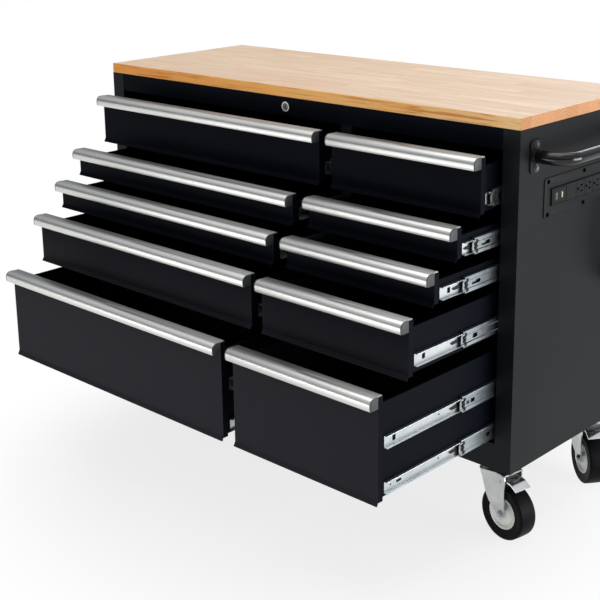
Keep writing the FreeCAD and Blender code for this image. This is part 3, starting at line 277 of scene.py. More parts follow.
# %% Satin aluminium
def satin_aluminium():
    finish, tree, shader = new_finish("satin_aluminium")
    streaks = noise(tree, stretched(tree, (6, 2600, 2600)), 1, 3)
    cloud = noise(tree, stretched(tree, (2, 20, 20)), 1, 2)
    tree.links.new(ramp(tree, cloud, [(0.3, (0.60, 0.60, 0.585)), (0.7, (0.68, 0.675, 0.65))]),
                   shader.inputs["Base Color"])
    tree.links.new(levels(tree, streaks, 0.36, 0.48), shader.inputs["Roughness"])
    shader.inputs["Metallic"].default_value = 1
    shader.inputs["Anisotropic"].default_value = 0.4
    bumped(tree, shader, streaks, 0.00004, 0.4)
    return finish


PULL_METAL = satin_aluminium()
print("metal of the pulls made")

# %% [markdown]
# Runners, forks and wheel discs are zinc plated. Zinc is a grey metal with a cold bloom
# and faint cloudy patches. A cloudy noise mixes two zinc tones and a fine one breaks up
# the gloss. Each part has its own pair of tones, which are painted shade and light: parts
# that lie in the shade of the bays or under the cabinet get darker tones than bare ones.


# %% Zinc-plated steel
def zinc(name, cold, warm, roughness, metallic=1.0):
    finish, tree, shader = new_finish(name)
    cloud = noise(tree, place_in_metres(tree), 17, 4, 0.5)
    tree.links.new(ramp(tree, cloud, [(0.3, cold), (0.72, warm)]), shader.inputs["Base Color"])
    grain = noise(tree, place_in_metres(tree), 700, 3)
    tree.links.new(levels(tree, grain, roughness - 0.09, roughness + 0.12),
                   shader.inputs["Roughness"])
    shader.inputs["Metallic"].default_value = metallic
    bumped(tree, shader, grain, 0.00006, 0.4)
    return finish


RUNNER_ZINC = zinc("runner_zinc", (0.50, 0.54, 0.56), (0.62, 0.65, 0.65), 0.34)
# The middle members lie in the shade of the bays: their darker tones are painted shade.
MIDDLE_ZINC = zinc("middle_zinc", (0.33, 0.38, 0.41), (0.44, 0.48, 0.50), 0.3)
FORK_ZINC = zinc("fork_zinc", (0.38, 0.41, 0.43), (0.60, 0.60, 0.57), 0.24)
DISC_ZINC = zinc("disc_zinc", (0.64, 0.66, 0.64), (0.80, 0.79, 0.73), 0.5, 0.5)
PEDAL_ZINC = zinc("pedal_zinc", (0.74, 0.77, 0.78), (0.86, 0.87, 0.86), 0.2)
BOLT_STEEL = zinc("bolt_steel", (0.11, 0.12, 0.14), (0.18, 0.19, 0.21), 0.3)
LOCK_STEEL = zinc("lock_steel", (0.42, 0.42, 0.42), (0.55, 0.54, 0.50), 0.24)
PORT_STEEL = zinc("port_steel", (0.26, 0.26, 0.24), (0.36, 0.35, 0.31), 0.35)
print("zinc and steel finishes made: 8")

# %% [markdown]
# Rubber and plastic differ mostly in gloss. Rubber is dull and slightly dusty, which a
# cloudy noise does; moulded plastic carries a fine spark-eroded grain from its mould.


# %% Rubber and plastic
def moulded(name, dark, light, roughness, grain_scale, depth, gloss):
    finish, tree, shader = new_finish(name)
    cloud = noise(tree, place_in_metres(tree), 55, 4, 0.65)
    tree.links.new(ramp(tree, cloud, [(0.42, dark), (0.72, light)]), shader.inputs["Base Color"])
    grain = noise(tree, place_in_metres(tree), grain_scale, 2)
    tree.links.new(levels(tree, cloud, roughness - 0.08, roughness + 0.08),
                   shader.inputs["Roughness"])
    shader.inputs["Specular IOR Level"].default_value = gloss
    bumped(tree, shader, grain, depth, 0.5)
    return finish


TYRE_RUBBER = moulded("tyre_rubber", (0.0016, 0.0018, 0.0024), (0.0050, 0.0052, 0.0056),
                      0.5, 420, 0.0003, 0.07)
CORD_RUBBER = moulded("cord_rubber", (0.007, 0.007, 0.008), (0.012, 0.012, 0.013),
                      0.5, 900, 0.0001, 0.4)
BLACK_PLASTIC = moulded("black_plastic", (0.0050, 0.0060, 0.0066), (0.0070, 0.0081, 0.0086),
                        0.46, 1500, 0.0001, 0.12)
# Deep black is the own colour of the levers and the switch bezel, and painted shade where it
# fills the front slots of the middle members.
DEEP_BLACK = moulded("deep_black_plastic_and_shade", (0.004, 0.004, 0.004), (0.006, 0.006, 0.006),
                     0.6, 1500, 0.0001, 0.3)
CAP_PLASTIC = moulded("cap_plastic", (0.050, 0.053, 0.056), (0.070, 0.073, 0.076),
                      0.5, 1500, 0.0001, 0.3)
# Slot black is the own colour of the panel screws, and painted shade in the key slot, round the
# lock's plug and in the seams and slot rims of the strip.
SLOT_BLACK = moulded("slot_black", (0.0006, 0.0006, 0.0007), (0.0010, 0.0010, 0.0011),
                     0.8, 1500, 0.0001, 0.02)
SWITCH_RED = moulded("switch_red", (0.42, 0.008, 0.006), (0.55, 0.014, 0.01),
                     0.28, 1500, 0.00002, 0.5)
PORT_CREAM = moulded("port_cream", (0.80, 0.72, 0.52), (0.88, 0.80, 0.60),
                     0.45, 1500, 0.00002, 0.4)
PORT_OCHRE = moulded("port_ochre", (0.20, 0.15, 0.07), (0.26, 0.20, 0.10),
                     0.5, 1500, 0.00002, 0.4)
print("rubber and plastic finishes made: 9")

# %% [markdown]
# The worktop is edge-glued from light hardwood staves about 45 mm wide and a few hundred
# long. A real one is told by four things: each stave has its own tone, the grain runs
# along it, the joints are hair lines, and the end of the board shows end grain instead.
# Staves are counted off with floor(), and a white noise gives every stave its own number.
# The way a face looks decides what it shows: the pale top, the redder front edge or the
# end grain.


# %% Wood of the top
STAVE_WIDTH = 0.0445
STAVE_LENGTH = 0.36
BOARD_LOW = 0.915


def own_number(tree, first, second):
    node = add_node(tree, "ShaderNodeTexWhiteNoise", {"noise_dimensions": "3D"})
    tree.links.new(combined(tree, first, second), node.inputs["Vector"])
    return node.outputs["Value"]


def top_wood(tree, place, tone, pores):
    """Pale staves of four tones, with the grain along them. Gives the colour and grain."""
    along, across, up = place
    depth = maths(tree, "ADD", maths(tree, "MULTIPLY", tone, 40),
                  maths(tree, "MULTIPLY", up, 95))
    drawn_out = combined(tree, maths(tree, "MULTIPLY", along, 5),
                         maths(tree, "MULTIPLY", across, 95), depth)
    grain = noise(tree, drawn_out, 1.0, 5, 0.6)
    pale = ramp(tree, tone, [(0.0, (0.72, 0.535, 0.385)), (0.35, (0.79, 0.615, 0.465)),
                             (0.7, (0.83, 0.655, 0.50)), (1.0, (0.75, 0.57, 0.41))])
    streaks = ramp(tree, grain, [(0.40, (0.1, 0.1, 0.1)), (0.62, (0.85, 0.85, 0.85))])
    veined = mixed(tree, streaks, pale, (0.66, 0.45, 0.29))
    return mixed(tree, levels(tree, pores, 0.0, 0.2), veined, (0.46, 0.30, 0.19)), grain


def front_wood(tree, along):
    """The front edge, which is redder, with flamed grain, and paler to the right, which is
    painted light.
    """
    slow = noise(tree, stretched(tree, (3.1, 1, 1), (0.4, 0, 0)), 1.0, 1)
    tone = maths(tree, "ADD", maths(tree, "MULTIPLY", along, 0.55),
                 maths(tree, "ADD", maths(tree, "MULTIPLY", slow, 0.8), 0.1))
    orange = ramp(tree, tone, [(0.1, (0.90, 0.36, 0.074)), (0.5, (1.0, 0.49, 0.135)),
                               (0.9, (1.0, 0.66, 0.29))])
    flame = noise(tree, stretched(tree, (7, 60, 150)), 1.0, 3, 0.55)
    streaks = ramp(tree, flame, [(0.50, (0, 0, 0)), (0.64, (0.9, 0.9, 0.9))])
    return mixed(tree, streaks, orange, (0.70, 0.24, 0.04))


def end_wood(tree, in_stave, up, offset):
    """End grain: arcs of year rings, whose heart lies elsewhere for each stave."""
    heart = maths(tree, "SUBTRACT", maths(tree, "MULTIPLY", offset, 0.19), 0.06)
    from_heart = maths(tree, "SUBTRACT", maths(tree, "MULTIPLY", in_stave, STAVE_WIDTH), heart)
    rings = add_node(tree, "ShaderNodeTexWave", {"wave_type": "RINGS", "rings_direction": "X"},
                     {"Scale": 44, "Distortion": 3.0, "Detail": 2, "Detail Scale": 1.2})
    tree.links.new(combined(tree, None, from_heart, maths(tree, "SUBTRACT", up, BOARD_LOW)),
                   rings.inputs["Vector"])
    tone = ramp(tree, offset, [(0.0, (0.52, 0.25, 0.11)), (1.0, (0.66, 0.36, 0.18))])
    return mixed(tree, levels(tree, rings.outputs["Fac"], 0.0, 0.6), tone, (0.40, 0.16, 0.055))


def joint_lines(tree, in_stave, lengthwise, is_front, is_end):
    """Hair lines along the staves on top and ends, and across them on the top alone."""
    long_joints = maths(tree, "LESS_THAN", in_stave, 0.014)
    short_joints = maths(tree, "MULTIPLY",
                         maths(tree, "LESS_THAN", maths(tree, "FRACT", lengthwise), 0.0016),
                         maths(tree, "SUBTRACT", 1, is_end))
    return maths(tree, "MULTIPLY", maths(tree, "MAXIMUM", long_joints, short_joints),
                 maths(tree, "SUBTRACT", 1, is_front))

# %% [markdown]
# The three woods and the joint lines now come together in one finish. A mix picks the
# front wood where a face looks forwards and the end grain where it looks sideways.


# %% Edge-glued wood
def stave_wood():
    finish, tree, shader = new_finish("stave_wood")
    place = separated(tree, place_in_metres(tree))
    along, across, up = place
    facing = separated(tree, add_node(tree, "ShaderNodeNewGeometry").outputs["Normal"])
    is_front = maths(tree, "GREATER_THAN", maths(tree, "MULTIPLY", facing["Y"], -1), 0.6)
    is_end = maths(tree, "GREATER_THAN", maths(tree, "ABSOLUTE", facing["X"]), 0.6)

    staves_across = maths(tree, "DIVIDE", across, STAVE_WIDTH)
    stave = maths(tree, "FLOOR", staves_across)
    in_stave = maths(tree, "FRACT", staves_across)
    offset = own_number(tree, stave, stave)
    lengthwise = maths(tree, "ADD", maths(tree, "DIVIDE", along, STAVE_LENGTH),
                       maths(tree, "MULTIPLY", offset, 7.3))
    tone = own_number(tree, stave, maths(tree, "FLOOR", lengthwise))

    pores = noise(tree, stretched(tree, (45, 1500, 1500)), 1, 2)
    colour, grain = top_wood(tree, place, tone, pores)
    colour = mixed(tree, is_front, colour, front_wood(tree, along))
    colour = mixed(tree, is_end, colour, end_wood(tree, in_stave, up, offset))
    joints = joint_lines(tree, in_stave, lengthwise, is_front, is_end)
    colour = mixed(tree, maths(tree, "MULTIPLY", joints, 0.45), colour, (0.33, 0.17, 0.07))
    tree.links.new(colour, shader.inputs["Base Color"])
    tree.links.new(levels(tree, grain, 0.40, 0.56), shader.inputs["Roughness"])
    shader.inputs["Specular IOR Level"].default_value = 0.22
    bumped(tree, shader, pores, 0.00008, 0.4)
    return finish


STAVE_WOOD = stave_wood()
print("nodes in the wood:", len(STAVE_WOOD.node_tree.nodes))

# %% [markdown]
# Most CAD solids already have the right shape, so they only get a finish. A solid's mesh
# is never touched here: its material slots are filled, and that is all.

# %% Finishes for the solids that stay
SOLID_FINISHES = {
    "worktop": STAVE_WOOD, "left_side_panel": CARCASS_PAINT, "right_side_panel": CARCASS_PAINT,
    "back_panel": CARCASS_PAINT, "base_pan": CARCASS_PAINT, "front_rail": DRAWER_PAINT,
    "centre_divider": CARCASS_PAINT, "cabinet_runners": RUNNER_ZINC,
    "lock_cylinder": LOCK_STEEL, "lock_plug": BOLT_STEEL, "outlet_module": BLACK_PLASTIC,
    "rocker_switch": SWITCH_RED, "caster_plates": BOLT_STEEL, "rigid_caster_forks": FORK_ZINC,
    "cord_hook": BRACKET_PAINT, "cord_grip": CORD_RUBBER, "power_plug": CORD_RUBBER,
}
ROWS = (1, 2, 3, 4, 5)
for column in ("left", "right"):
    for row in ROWS:
        SOLID_FINISHES[f"{column}_drawer_{row}_tray"] = DRAWER_PAINT
for node_name, finish in SOLID_FINISHES.items():
    solid = bpy.data.objects[node_name]
    if not solid.material_slots:
        solid.data.materials.append(finish)
    for held in solid.material_slots:
        held.material = finish
print("solids finished:", len(SOLID_FINISHES))

# %% [markdown]
# New pieces are drawn with bmesh, Blender's mesh toolkit. Everything here is one of four
# shapes: a section pushed along an axis, a flat plate with holes, a profile turned round
# an axle, or a round bar along a line. Sharp edges are then rounded by a few tenths of a
# millimetre, because it is the highlight on a rounded edge that makes a thing look made.


# %% Helpers that shape meshes
def two_rings(mesh, points, axis, start, end):
    """The same points at two places on axis 0, 1 or 2."""
    rings = []
    for along in (start, end):
        ring = []
        for point in points:
            place = list(point)
            place.insert(axis, along)
            ring.append(mesh.verts.new(place))
        rings.append(ring)
    return rings


def side_faces(mesh, rings, first, count):
    """Faces between two rings, for the loop of count points that starts at first."""
    for index in range(count):
        here, after = first + index, first + (index + 1) % count
        mesh.faces.new((rings[0][here], rings[0][after], rings[1][after], rings[1][here]))


def end_faces(mesh, rings, loops):
    """Closes both rings, where the loops after the first one are holes."""
    flat = [[Vector((*point, 0)) for point in loop] for loop in loops]
    for triangle in tessellate_polygon(flat):
        for ring in rings:
            mesh.faces.new([ring[index] for index in triangle])


def pushed(mesh, section, axis, start, end):
    """A closed section pushed along an axis from start to end."""
    rings = two_rings(mesh, section, axis, start, end)
    side_faces(mesh, rings, 0, len(section))
    end_faces(mesh, rings, [section])


def plate(mesh, outline, holes, axis, start, end):
    """A flat plate with holes, between two places on its thin axis."""
    loops = [outline] + holes
    rings = two_rings(mesh, sum(loops, []), axis, start, end)
    end_faces(mesh, rings, loops)
    first = 0
    for loop in loops:
        side_faces(mesh, rings, first, len(loop))
        first += len(loop)


# %% Helpers for turned shapes and round bars
def turned(mesh, profile, steps, placed=None):
    """A closed profile of (along, radius) turned round the Y axis."""
    rings = []
    made = []
    for step in range(steps):
        angle = 2 * math.pi * step / steps
        ring = [mesh.verts.new((radius * math.cos(angle), along, radius * math.sin(angle)))
                for along, radius in profile]
        rings.append(ring)
        made += ring
    count = len(profile)
    for step in range(steps):
        this, following = rings[step], rings[(step + 1) % steps]
        for index in range(count):
            after = (index + 1) % count
            corners = (this[index], this[after], following[after], following[index])
            if profile[index][1] < 1e-6 and profile[after][1] < 1e-6:
                continue
            mesh.faces.new(corners)
    if placed is not None:
        bmesh.ops.transform(mesh, matrix=placed, verts=made)


def piped(mesh, points, radius, sides):
    """A round bar along a line of points, closed at both ends."""
    rings = []
    aside = None
    for index, point in enumerate(points):
        before = points[max(index - 1, 0)]
        after = points[min(index + 1, len(points) - 1)]
        way = (Vector(after) - Vector(before)).normalized()
        if aside is None:
            aside = way.orthogonal().normalized()
        aside = (aside - way * aside.dot(way)).normalized()
        other = way.cross(aside)
        ring = []
        for side in range(sides):
            angle = 2 * math.pi * side / sides
            ring.append(mesh.verts.new(Vector(point) + (aside * math.cos(angle)
                                                        + other * math.sin(angle)) * radius))
        rings.append(ring)
    for first, second in zip(rings, rings[1:]):
        for side in range(sides):
            after = (side + 1) % sides
            mesh.faces.new((first[side], first[after], second[after], second[side]))
    mesh.faces.new(list(reversed(rings[0])))
    mesh.faces.new(rings[-1])


# %% Helpers for outlines and places
def arc(centre, radius, start, end, steps):
    """Points of an arc, angles in degrees."""
    angles = [math.radians(start + (end - start) * step / steps) for step in range(steps + 1)]
    return [(centre[0] + radius * math.cos(angle), centre[1] + radius * math.sin(angle))
            for angle in angles]


def ring_of(centre, radius, count, first=0.0):
    """A whole circle in so many points, the first of them at an angle."""
    return arc(centre, radius, first, first + 360, count)[:-1]


def rounded_box(left, low, right_edge, high, radius, steps=5):
    return (arc((left + radius, low + radius), radius, 180, 270, steps)
            + arc((right_edge - radius, low + radius), radius, 270, 360, steps)
            + arc((right_edge - radius, high - radius), radius, 0, 90, steps)
            + arc((left + radius, high - radius), radius, 90, 180, steps))


def moved(section, back, up):
    return [(y + back, z + up) for y, z in section]


def placed_at(across, back, up, angle):
    """A place for a turned shape, and its angle about the upright axis."""
    return Matrix.Translation((across, back, up)) @ Matrix.Rotation(math.radians(angle), 4, "Z")



# %% Helper that finishes a piece
SMOOTH_UNDER = 32


def welded(mesh):
    bmesh.ops.remove_doubles(mesh, verts=mesh.verts, dist=1e-4)
    bmesh.ops.recalc_face_normals(mesh, faces=mesh.faces)


def hand_over(name, data, body, stands_for, smooth):
    data.shade_smooth()
    data.set_sharp_from_angle(angle=math.radians(smooth))
    piece = bpy.data.objects.new(name, data)
    bpy.context.scene.collection.objects.link(piece)
    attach(piece, body)
    if stands_for:
        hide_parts(*stands_for)


def finish_piece(name, mesh, material, body, stands_for=(), edge=0.0,
                 smooth=SMOOTH_UNDER):
    """Edge is how much is taken off edges that turn by more than smooth, in degrees."""
    welded(mesh)
    if edge:
        sharp = [e for e in mesh.edges if len(e.link_faces) == 2
                 and e.calc_face_angle() > math.radians(smooth)]
        bmesh.ops.bevel(mesh, geom=sharp, offset=edge, segments=2, affect="EDGES",
                        profile=0.5, clamp_overlap=True)
    for vertex in mesh.verts:
        vertex.co = in_scene(*vertex.co)
    data = bpy.data.meshes.new(name)
    mesh.to_mesh(data)
    mesh.free()
    data.materials.append(material)
    hand_over(name, data, body, stands_for, smooth)


# %% [markdown]
# The cord comes next, because it is the one free-form thing. It leaves an elbow on the
# side panel, runs a few centimetres, and hangs in a neat oval coil of almost four turns on
# its hook, with the plug on the free end. It is one spline. The coil winds inwards on the
# wall side, steps out by one cord, and winds outwards again, so no turn crosses another.

# %% Route of the cord
CORD_DIAMETER = 9.0
SIDE_FACE = 1320.0
COIL_BACK, COIL_UP = 412.0, 632.0
COIL_WIDTH, COIL_HEIGHT = 154, 224
COIL_HALF_WIDTH = COIL_WIDTH / 2 - CORD_DIAMETER / 2
COIL_HALF_HEIGHT = COIL_HEIGHT / 2 - CORD_DIAMETER / 2
COIL_STEP = 10.2
COIL_STAND = 22.0
POINTS_EACH_TURN = 12
QUARTERS = 15
INNERMOST_QUARTER = 8
ROUNDING = 1.03
LEAD_POINTS_BACK = (33, 18)


def coil_point(quarter):
    """Where the cord is after so many quarter turns from the lowest point of the coil."""
    drawn_in = COIL_STEP * (INNERMOST_QUARTER - abs(quarter - INNERMOST_QUARTER)) / 4
    layer = min(max(quarter - 7, 0), 2) / 2
    out = COIL_STAND + COIL_STEP * layer
    if quarter > QUARTERS - 3:
        out += 0.5 * COIL_STEP * (quarter - QUARTERS + 3)
    angle = math.radians(90 * quarter)
    return (SIDE_FACE + out,
            COIL_BACK - math.sin(angle) * (COIL_HALF_WIDTH * ROUNDING - drawn_in),
            COIL_UP - math.cos(angle) * (COIL_HALF_HEIGHT * ROUNDING - drawn_in))


cord_route = [(SIDE_FACE + COIL_STAND, COIL_BACK + back, COIL_UP - COIL_HALF_HEIGHT)
              for back in LEAD_POINTS_BACK]
steps_in_all = QUARTERS * POINTS_EACH_TURN // 4
cord_route += [coil_point(4 * step / POINTS_EACH_TURN) for step in range(steps_in_all + 1)]
last = cord_route[-1]
cord_route.append((last[0], last[1], last[2] - CORD_DIAMETER))
print("points on the cord:", len(cord_route))
print("points on the cord:", len(cord_route))

# %% The cord itself
cord_curve = bpy.data.curves.new("power_cord", "CURVE")
cord_curve.dimensions = "3D"
spline = cord_curve.splines.new("NURBS")
spline.points.add(len(cord_route) - 1)
for control, place in zip(spline.points, cord_route):
    control.co = (*in_scene(*place), 1)
spline.order_u = 3
spline.use_endpoint_u = True
spline.resolution_u = 8
cord_curve.bevel_depth = CORD_DIAMETER / 2000
cord_curve.bevel_resolution = 5
cord_curve.use_fill_caps = True
cord_curve.materials.append(CORD_RUBBER)
power_cord = bpy.data.objects.new("power_cord", cord_curve)
bpy.context.scene.collection.objects.link(power_cord)
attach(power_cord, "cabinet")
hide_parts("power_cord_lead", "power_cord_coil")
print("thickness of the cord:", CORD_DIAMETER, "mm")

# %% [markdown]
# Ten drawers hang in two bays of five rows, and each stands open by its own amount. A
# runner's middle member follows its drawer for a share of the way. Most drawers have one
# runner on each side, the deep ones of the lowest row two. These tables hold the places,
# and two generators walk through drawers and runners for the pieces that repeat.

# %% Drawer places
BAYS = {"left": (42.0, 793.0), "right": (866.0, 412.0)}
ROW_TOP = {1: 895, 2: 764, 3: 687, 4: 610, 5: 479}
ROW_LOW = {1: 769, 2: 692, 3: 615, 4: 484, 5: 248}
OPEN = {"left": (72, 161, 224, 297, 393), "right": (70, 147, 220, 300, 392)}
SHARE = (0.72, 0.75, 0.64, 0.475, 0.362)
RUNNER_UP = {1: (33,), 2: (20,), 3: (20,), 4: (33,), 5: (25, 124)}
SIDE_GAP = 2.5
PULL_CAP = 2.5
MEMBER_START, MEMBER_LENGTH = 30, 405
MIDDLE_START, MIDDLE_LENGTH = 18, 420
DOUBLE_RUNNER_LOW = (5, 25)


def each_drawer():
    """Name, row, start and width of the bay, and how far the drawer is open."""
    for column, (bay_start, bay_width) in BAYS.items():
        for row in ROWS:
            yield f"{column}_drawer_{row}", row, bay_start, bay_width, OPEN[column][row - 1]


def each_runner(row, bay_start, bay_width):
    """Height in the drawer and in all, wall of the bay, and the way inwards from it."""
    for up in RUNNER_UP[row]:
        for wall, way in ((bay_start, 1), (bay_start + bay_width, -1)):
            yield up, ROW_LOW[row] + up, wall, way


def against_wall(section, wall, way, level, flip):
    """A section drawn out from a wall, upright or flipped over."""
    return [(wall + way * out, level + flip * z) for out, z in section]


# %% [markdown]
# The drawer pull is a convex aluminium extrusion: flat on top, rounded over the front and
# open underneath for the fingers. Its section is the same for all ten drawers, so it is
# drawn once, with a fine arc, and pushed to each drawer's width. The ends are closed by
# dark plastic caps of the same outline.

# %% Pulls and end caps
PULL_OUTER = ([(14, 0)] + arc((-11, -13), 13, 90, 180, 12)
              + [(-23.9, -17), (-23.5, -20.5), (-22.6, -23.6), (-22, -25)])
PULL_INNER = ([(-20.2, -25), (-21, -22), (-21.7, -18)] + arc((-11, -13), 11, 180, 90, 10)
              + [(-2, -2), (-2, -10), (0, -10), (0, -2), (14, -2)])
CAP_OUTLINE = ([(0, 0)] + arc((-11, -13), 13, 90, 180, 12)
               + [(-23.9, -17), (-23.5, -20.5), (-22.6, -23.6), (-21.6, -25), (0, -25)])

for name, row, bay_start, bay_width, opened in each_drawer():
    left_end = bay_start + SIDE_GAP
    right_end = bay_start + bay_width - SIDE_GAP
    pull = bmesh.new()
    pushed(pull, moved(PULL_OUTER + PULL_INNER, -opened, ROW_TOP[row]), 0,
           left_end + PULL_CAP, right_end - PULL_CAP)
    finish_piece(f"{name}_pull", pull, PULL_METAL, name,
                 [f"{name}_pull_and_runners"], edge=0.35, smooth=38)
    caps = bmesh.new()
    for start in (left_end, right_end - PULL_CAP):
        pushed(caps, moved(CAP_OUTLINE, -opened, ROW_TOP[row]), 0, start, start + PULL_CAP)
    finish_piece(f"{name}_pull_caps", caps, CAP_PLASTIC, name,
                 [f"{name}_pull_and_runners"], edge=0.5, smooth=38)
print("pulls made: 10")

# %% [markdown]
# A telescopic runner has three members. The outer one, a CAD solid, is already there.
# The drawer member is the narrow channel on the tray: a web with slots and screw holes
# between two rolled edges. Its web is a plate with real holes, so the black tray shows
# through them. A black plastic lever lies in it, where the thumb releases the drawer.


# %% Drawer members and levers
def slot_hole(centre, length, height):
    half, radius = length / 2 - height / 2, height / 2
    return (arc((centre + half, 0), radius, -90, 90, 6)
            + arc((centre - half, 0), radius, 90, 270, 6))


FAR_HOLES = [slot_hole(176, 4.6, 4.6), slot_hole(262, 14, 5), slot_hole(318, 4.6, 4.6),
             slot_hole(378, 16, 6.4)]
UPPER_HOLES = [rounded_box(25, -6.0, 35, 6.0, 1.4)] + FAR_HOLES
LOWER_HOLES = [slot_hole(20, 4.2, 4.2), slot_hole(46, 17, 5.6)] + FAR_HOLES
MEMBER_EDGE = [(13.5, 11.2), (13.5, 12.6), (13.0, 13.5), (12.1, 14), (6.0, 14), (4.7, 13.6),
               (4.5, 12.9), (4.9, 12.4), (5.9, 12.6), (11.6, 12.6), (12.3, 11.9), (12.3, 11.2)]
MEMBER_WEB = rounded_box(0, -11.4, MEMBER_LENGTH, 11.4, 1.2)
LEVER = [(0, -1.2), (6, -4.4), (26, -3.5), (46, -3.2), (46, 3.2), (26, 3.5), (8, 2.2), (2, 1.0)]
LEVER_AHEAD = 27

for name, row, bay_start, bay_width, opened in each_drawer():
    start = MEMBER_START - opened
    middle_front = MIDDLE_START - SHARE[row - 1] * opened
    lever_tip = max(middle_front - LEVER_AHEAD, start + 4)
    members = bmesh.new()
    levers = bmesh.new()
    for up, level, wall, way in each_runner(row, bay_start, bay_width):
        for flip in (1, -1):
            pushed(members, against_wall(MEMBER_EDGE, wall, way, level, flip), 1,
                   start, start + MEMBER_LENGTH)
        holes = LOWER_HOLES if (row, up) == DOUBLE_RUNNER_LOW else UPPER_HOLES
        plate(members, moved(MEMBER_WEB, start, level),
              [moved(hole, start, level) for hole in holes],
              0, wall + way * 12.3, wall + way * 13.5)
        pushed(levers, moved(LEVER, lever_tip, level), 0, wall + way * 10.5, wall + way * 12.2)
    finish_piece(f"{name}_drawer_members", members, RUNNER_ZINC, name,
                 [f"{name}_pull_and_runners"], smooth=30)
    finish_piece(f"{name}_release_levers", levers, DEEP_BLACK, name,
                 [f"{name}_pull_and_runners"], edge=0.3)
print("drawer members made: 24")

# %% [markdown]
# The middle member is the wide channel that carries the drawer member. Light runs along it
# in bands, because it is rolled: a shallow channel down the middle, a round corner above
# and below, a flange on each side. Each half is one section pushed along the runner, with
# its nose cut back, and the middle band is a plate with windows.

# %% Middle members
MIDDLE_HALF = [(4.6, 7.8), (3.0, 9.8), (3.0, 16.4), (3.7, 17.8), (5.0, 18.3), (11.4, 18.3),
               (11.4, 15.7), (10.3, 15.7), (10.3, 17.1), (5.2, 17.1), (4.2, 16.1), (4.2, 10.3),
               (5.8, 8.5), (5.8, 7.8)]
MIDDLE_NOSE = [(4.6, 7.8), (3.0, 9.8), (3.0, 12.6), (4.2, 12.6), (4.2, 10.3), (5.8, 8.5),
               (5.8, 7.8)]
NOSE_LENGTH = 6
MIDDLE_BAND = rounded_box(0, -7.8, MIDDLE_LENGTH, 7.8, 0.3, 1)
LONG_SLOT = [slot_hole(47, 31, 8.6), slot_hole(190, 14, 5), slot_hole(330, 25, 7.6)]
SHORT_SLOT = [rounded_box(40, -5.0, 57, 5.0, 1), slot_hole(330, 25, 7.6)]
TWO_WINDOWS = [rounded_box(23, -4, 33, 4, 1), rounded_box(38, -4.6, 52, 4.6, 1),
               slot_hole(330, 25, 7.6)]
FAR_WINDOW = [rounded_box(98, -4.2, 111, 4.2, 1), slot_hole(330, 25, 7.6)]


def windows_of(row, up):
    if row <= 3:
        return LONG_SLOT
    if row == 4:
        return SHORT_SLOT
    return FAR_WINDOW if (row, up) == DOUBLE_RUNNER_LOW else TWO_WINDOWS


for name, row, bay_start, bay_width, opened in each_drawer():
    start = MIDDLE_START - SHARE[row - 1] * opened
    channels = bmesh.new()
    for up, level, wall, way in each_runner(row, bay_start, bay_width):
        for flip in (1, -1):
            for section, first, final in ((MIDDLE_HALF, NOSE_LENGTH, MIDDLE_LENGTH),
                                          (MIDDLE_NOSE, 0, NOSE_LENGTH)):
                pushed(channels, against_wall(section, wall, way, level, flip), 1,
                       start + first, start + final)
        plate(channels, moved(MIDDLE_BAND, start, level),
              [moved(hole, start, level) for hole in windows_of(row, up)],
              0, wall + way * 4.6, wall + way * 5.8)
    finish_piece(f"{name}_middle_members", channels, MIDDLE_ZINC, f"{name}_middle",
                 [f"{name}_mid_runners"], smooth=25)
print("middle members made: 24")

# %% [markdown]
# Each middle member has a dark slot near the front of the channel. It is drawn as a small
# solid black piece with a wavy outline, painted shade of the slot. It is a little thing,
# but it is the dark mark that makes a runner look like a runner.

# %% Painted shade of the front slots
SLOT_SHADE_OUTLINE = [(9, -14.5), (11.5, -9), (6.5, -4.2), (9.5, 0), (6.5, 4.2), (11.5, 9), (9, 14.5),
        (16, 14.5), (18.5, 9), (13.2, 4.6), (16.4, 0), (13.2, -4.6), (18.5, -9), (16, -14.5)]

# Each black piece is painted shade of the slot at the front of a middle member.
for name, row, bay_start, bay_width, opened in each_drawer():
    front = MIDDLE_START - SHARE[row - 1] * opened
    slot_shade_marks = bmesh.new()
    for _, level, wall, way in each_runner(row, bay_start, bay_width):
        pushed(slot_shade_marks, moved(SLOT_SHADE_OUTLINE, front, level), 0, wall + way * 2.2, wall + way * 6.2)
    finish_piece(f"{name}_cage_clips", slot_shade_marks, DEEP_BLACK, f"{name}_middle",
                 edge=0.3)
print("painted slot shades made: 24")

# %% [markdown]
# The wheels are moulded rubber tyres on pressed zinc discs. A wheel is the classic turned
# shape: a half profile spun round the axle. The tyre gets soft shoulders and a slightly
# crowned tread, the disc a dished web, a rolled rim and the tube that runs on the axle.

# %% Wheels
TYRE_HALF = ([(20.5, 38.6), (21.8, 40), (22.3, 44), (22.3, 53.4), (22.9, 54.4), (22.9, 57)]
             + [(18.5 + 4.0 * across, 58.9 + 4.2 * out)
                for across, out in arc((0, 0), 1, 0, 90, 6)] + [(9, 63.4)])
TYRE = ([(-along, radius) for along, radius in TYRE_HALF] + [(0, 63.5)]
        + list(reversed(TYRE_HALF)))
DISC_HALF = [(25, 5.05), (25, 11), (24.2, 12), (18, 12.8), (16.2, 16), (15.8, 22), (17.0, 29),
             (19.6, 33), (21.1, 35.2), (21.6, 37.4), (20.6, 38.6)]
DISC = DISC_HALF + [(-along, radius) for along, radius in reversed(DISC_HALF)]
AXLE_UP = 63.5
CASTERS = {"front": (60.0, -10.0), "rear": (430.0, -36.5)}
SWIVEL_ACROSS, TRAIL = 1252.0, 32.0
WHEELS = {}
for end, (back, angle) in CASTERS.items():
    way = math.radians(angle)
    WHEELS[f"{end}_left_wheel"] = (68.0, back, 0.0)
    WHEELS[f"{end}_right_wheel"] = (SWIVEL_ACROSS + TRAIL * math.cos(way),
                                    back + TRAIL * math.sin(way), angle)
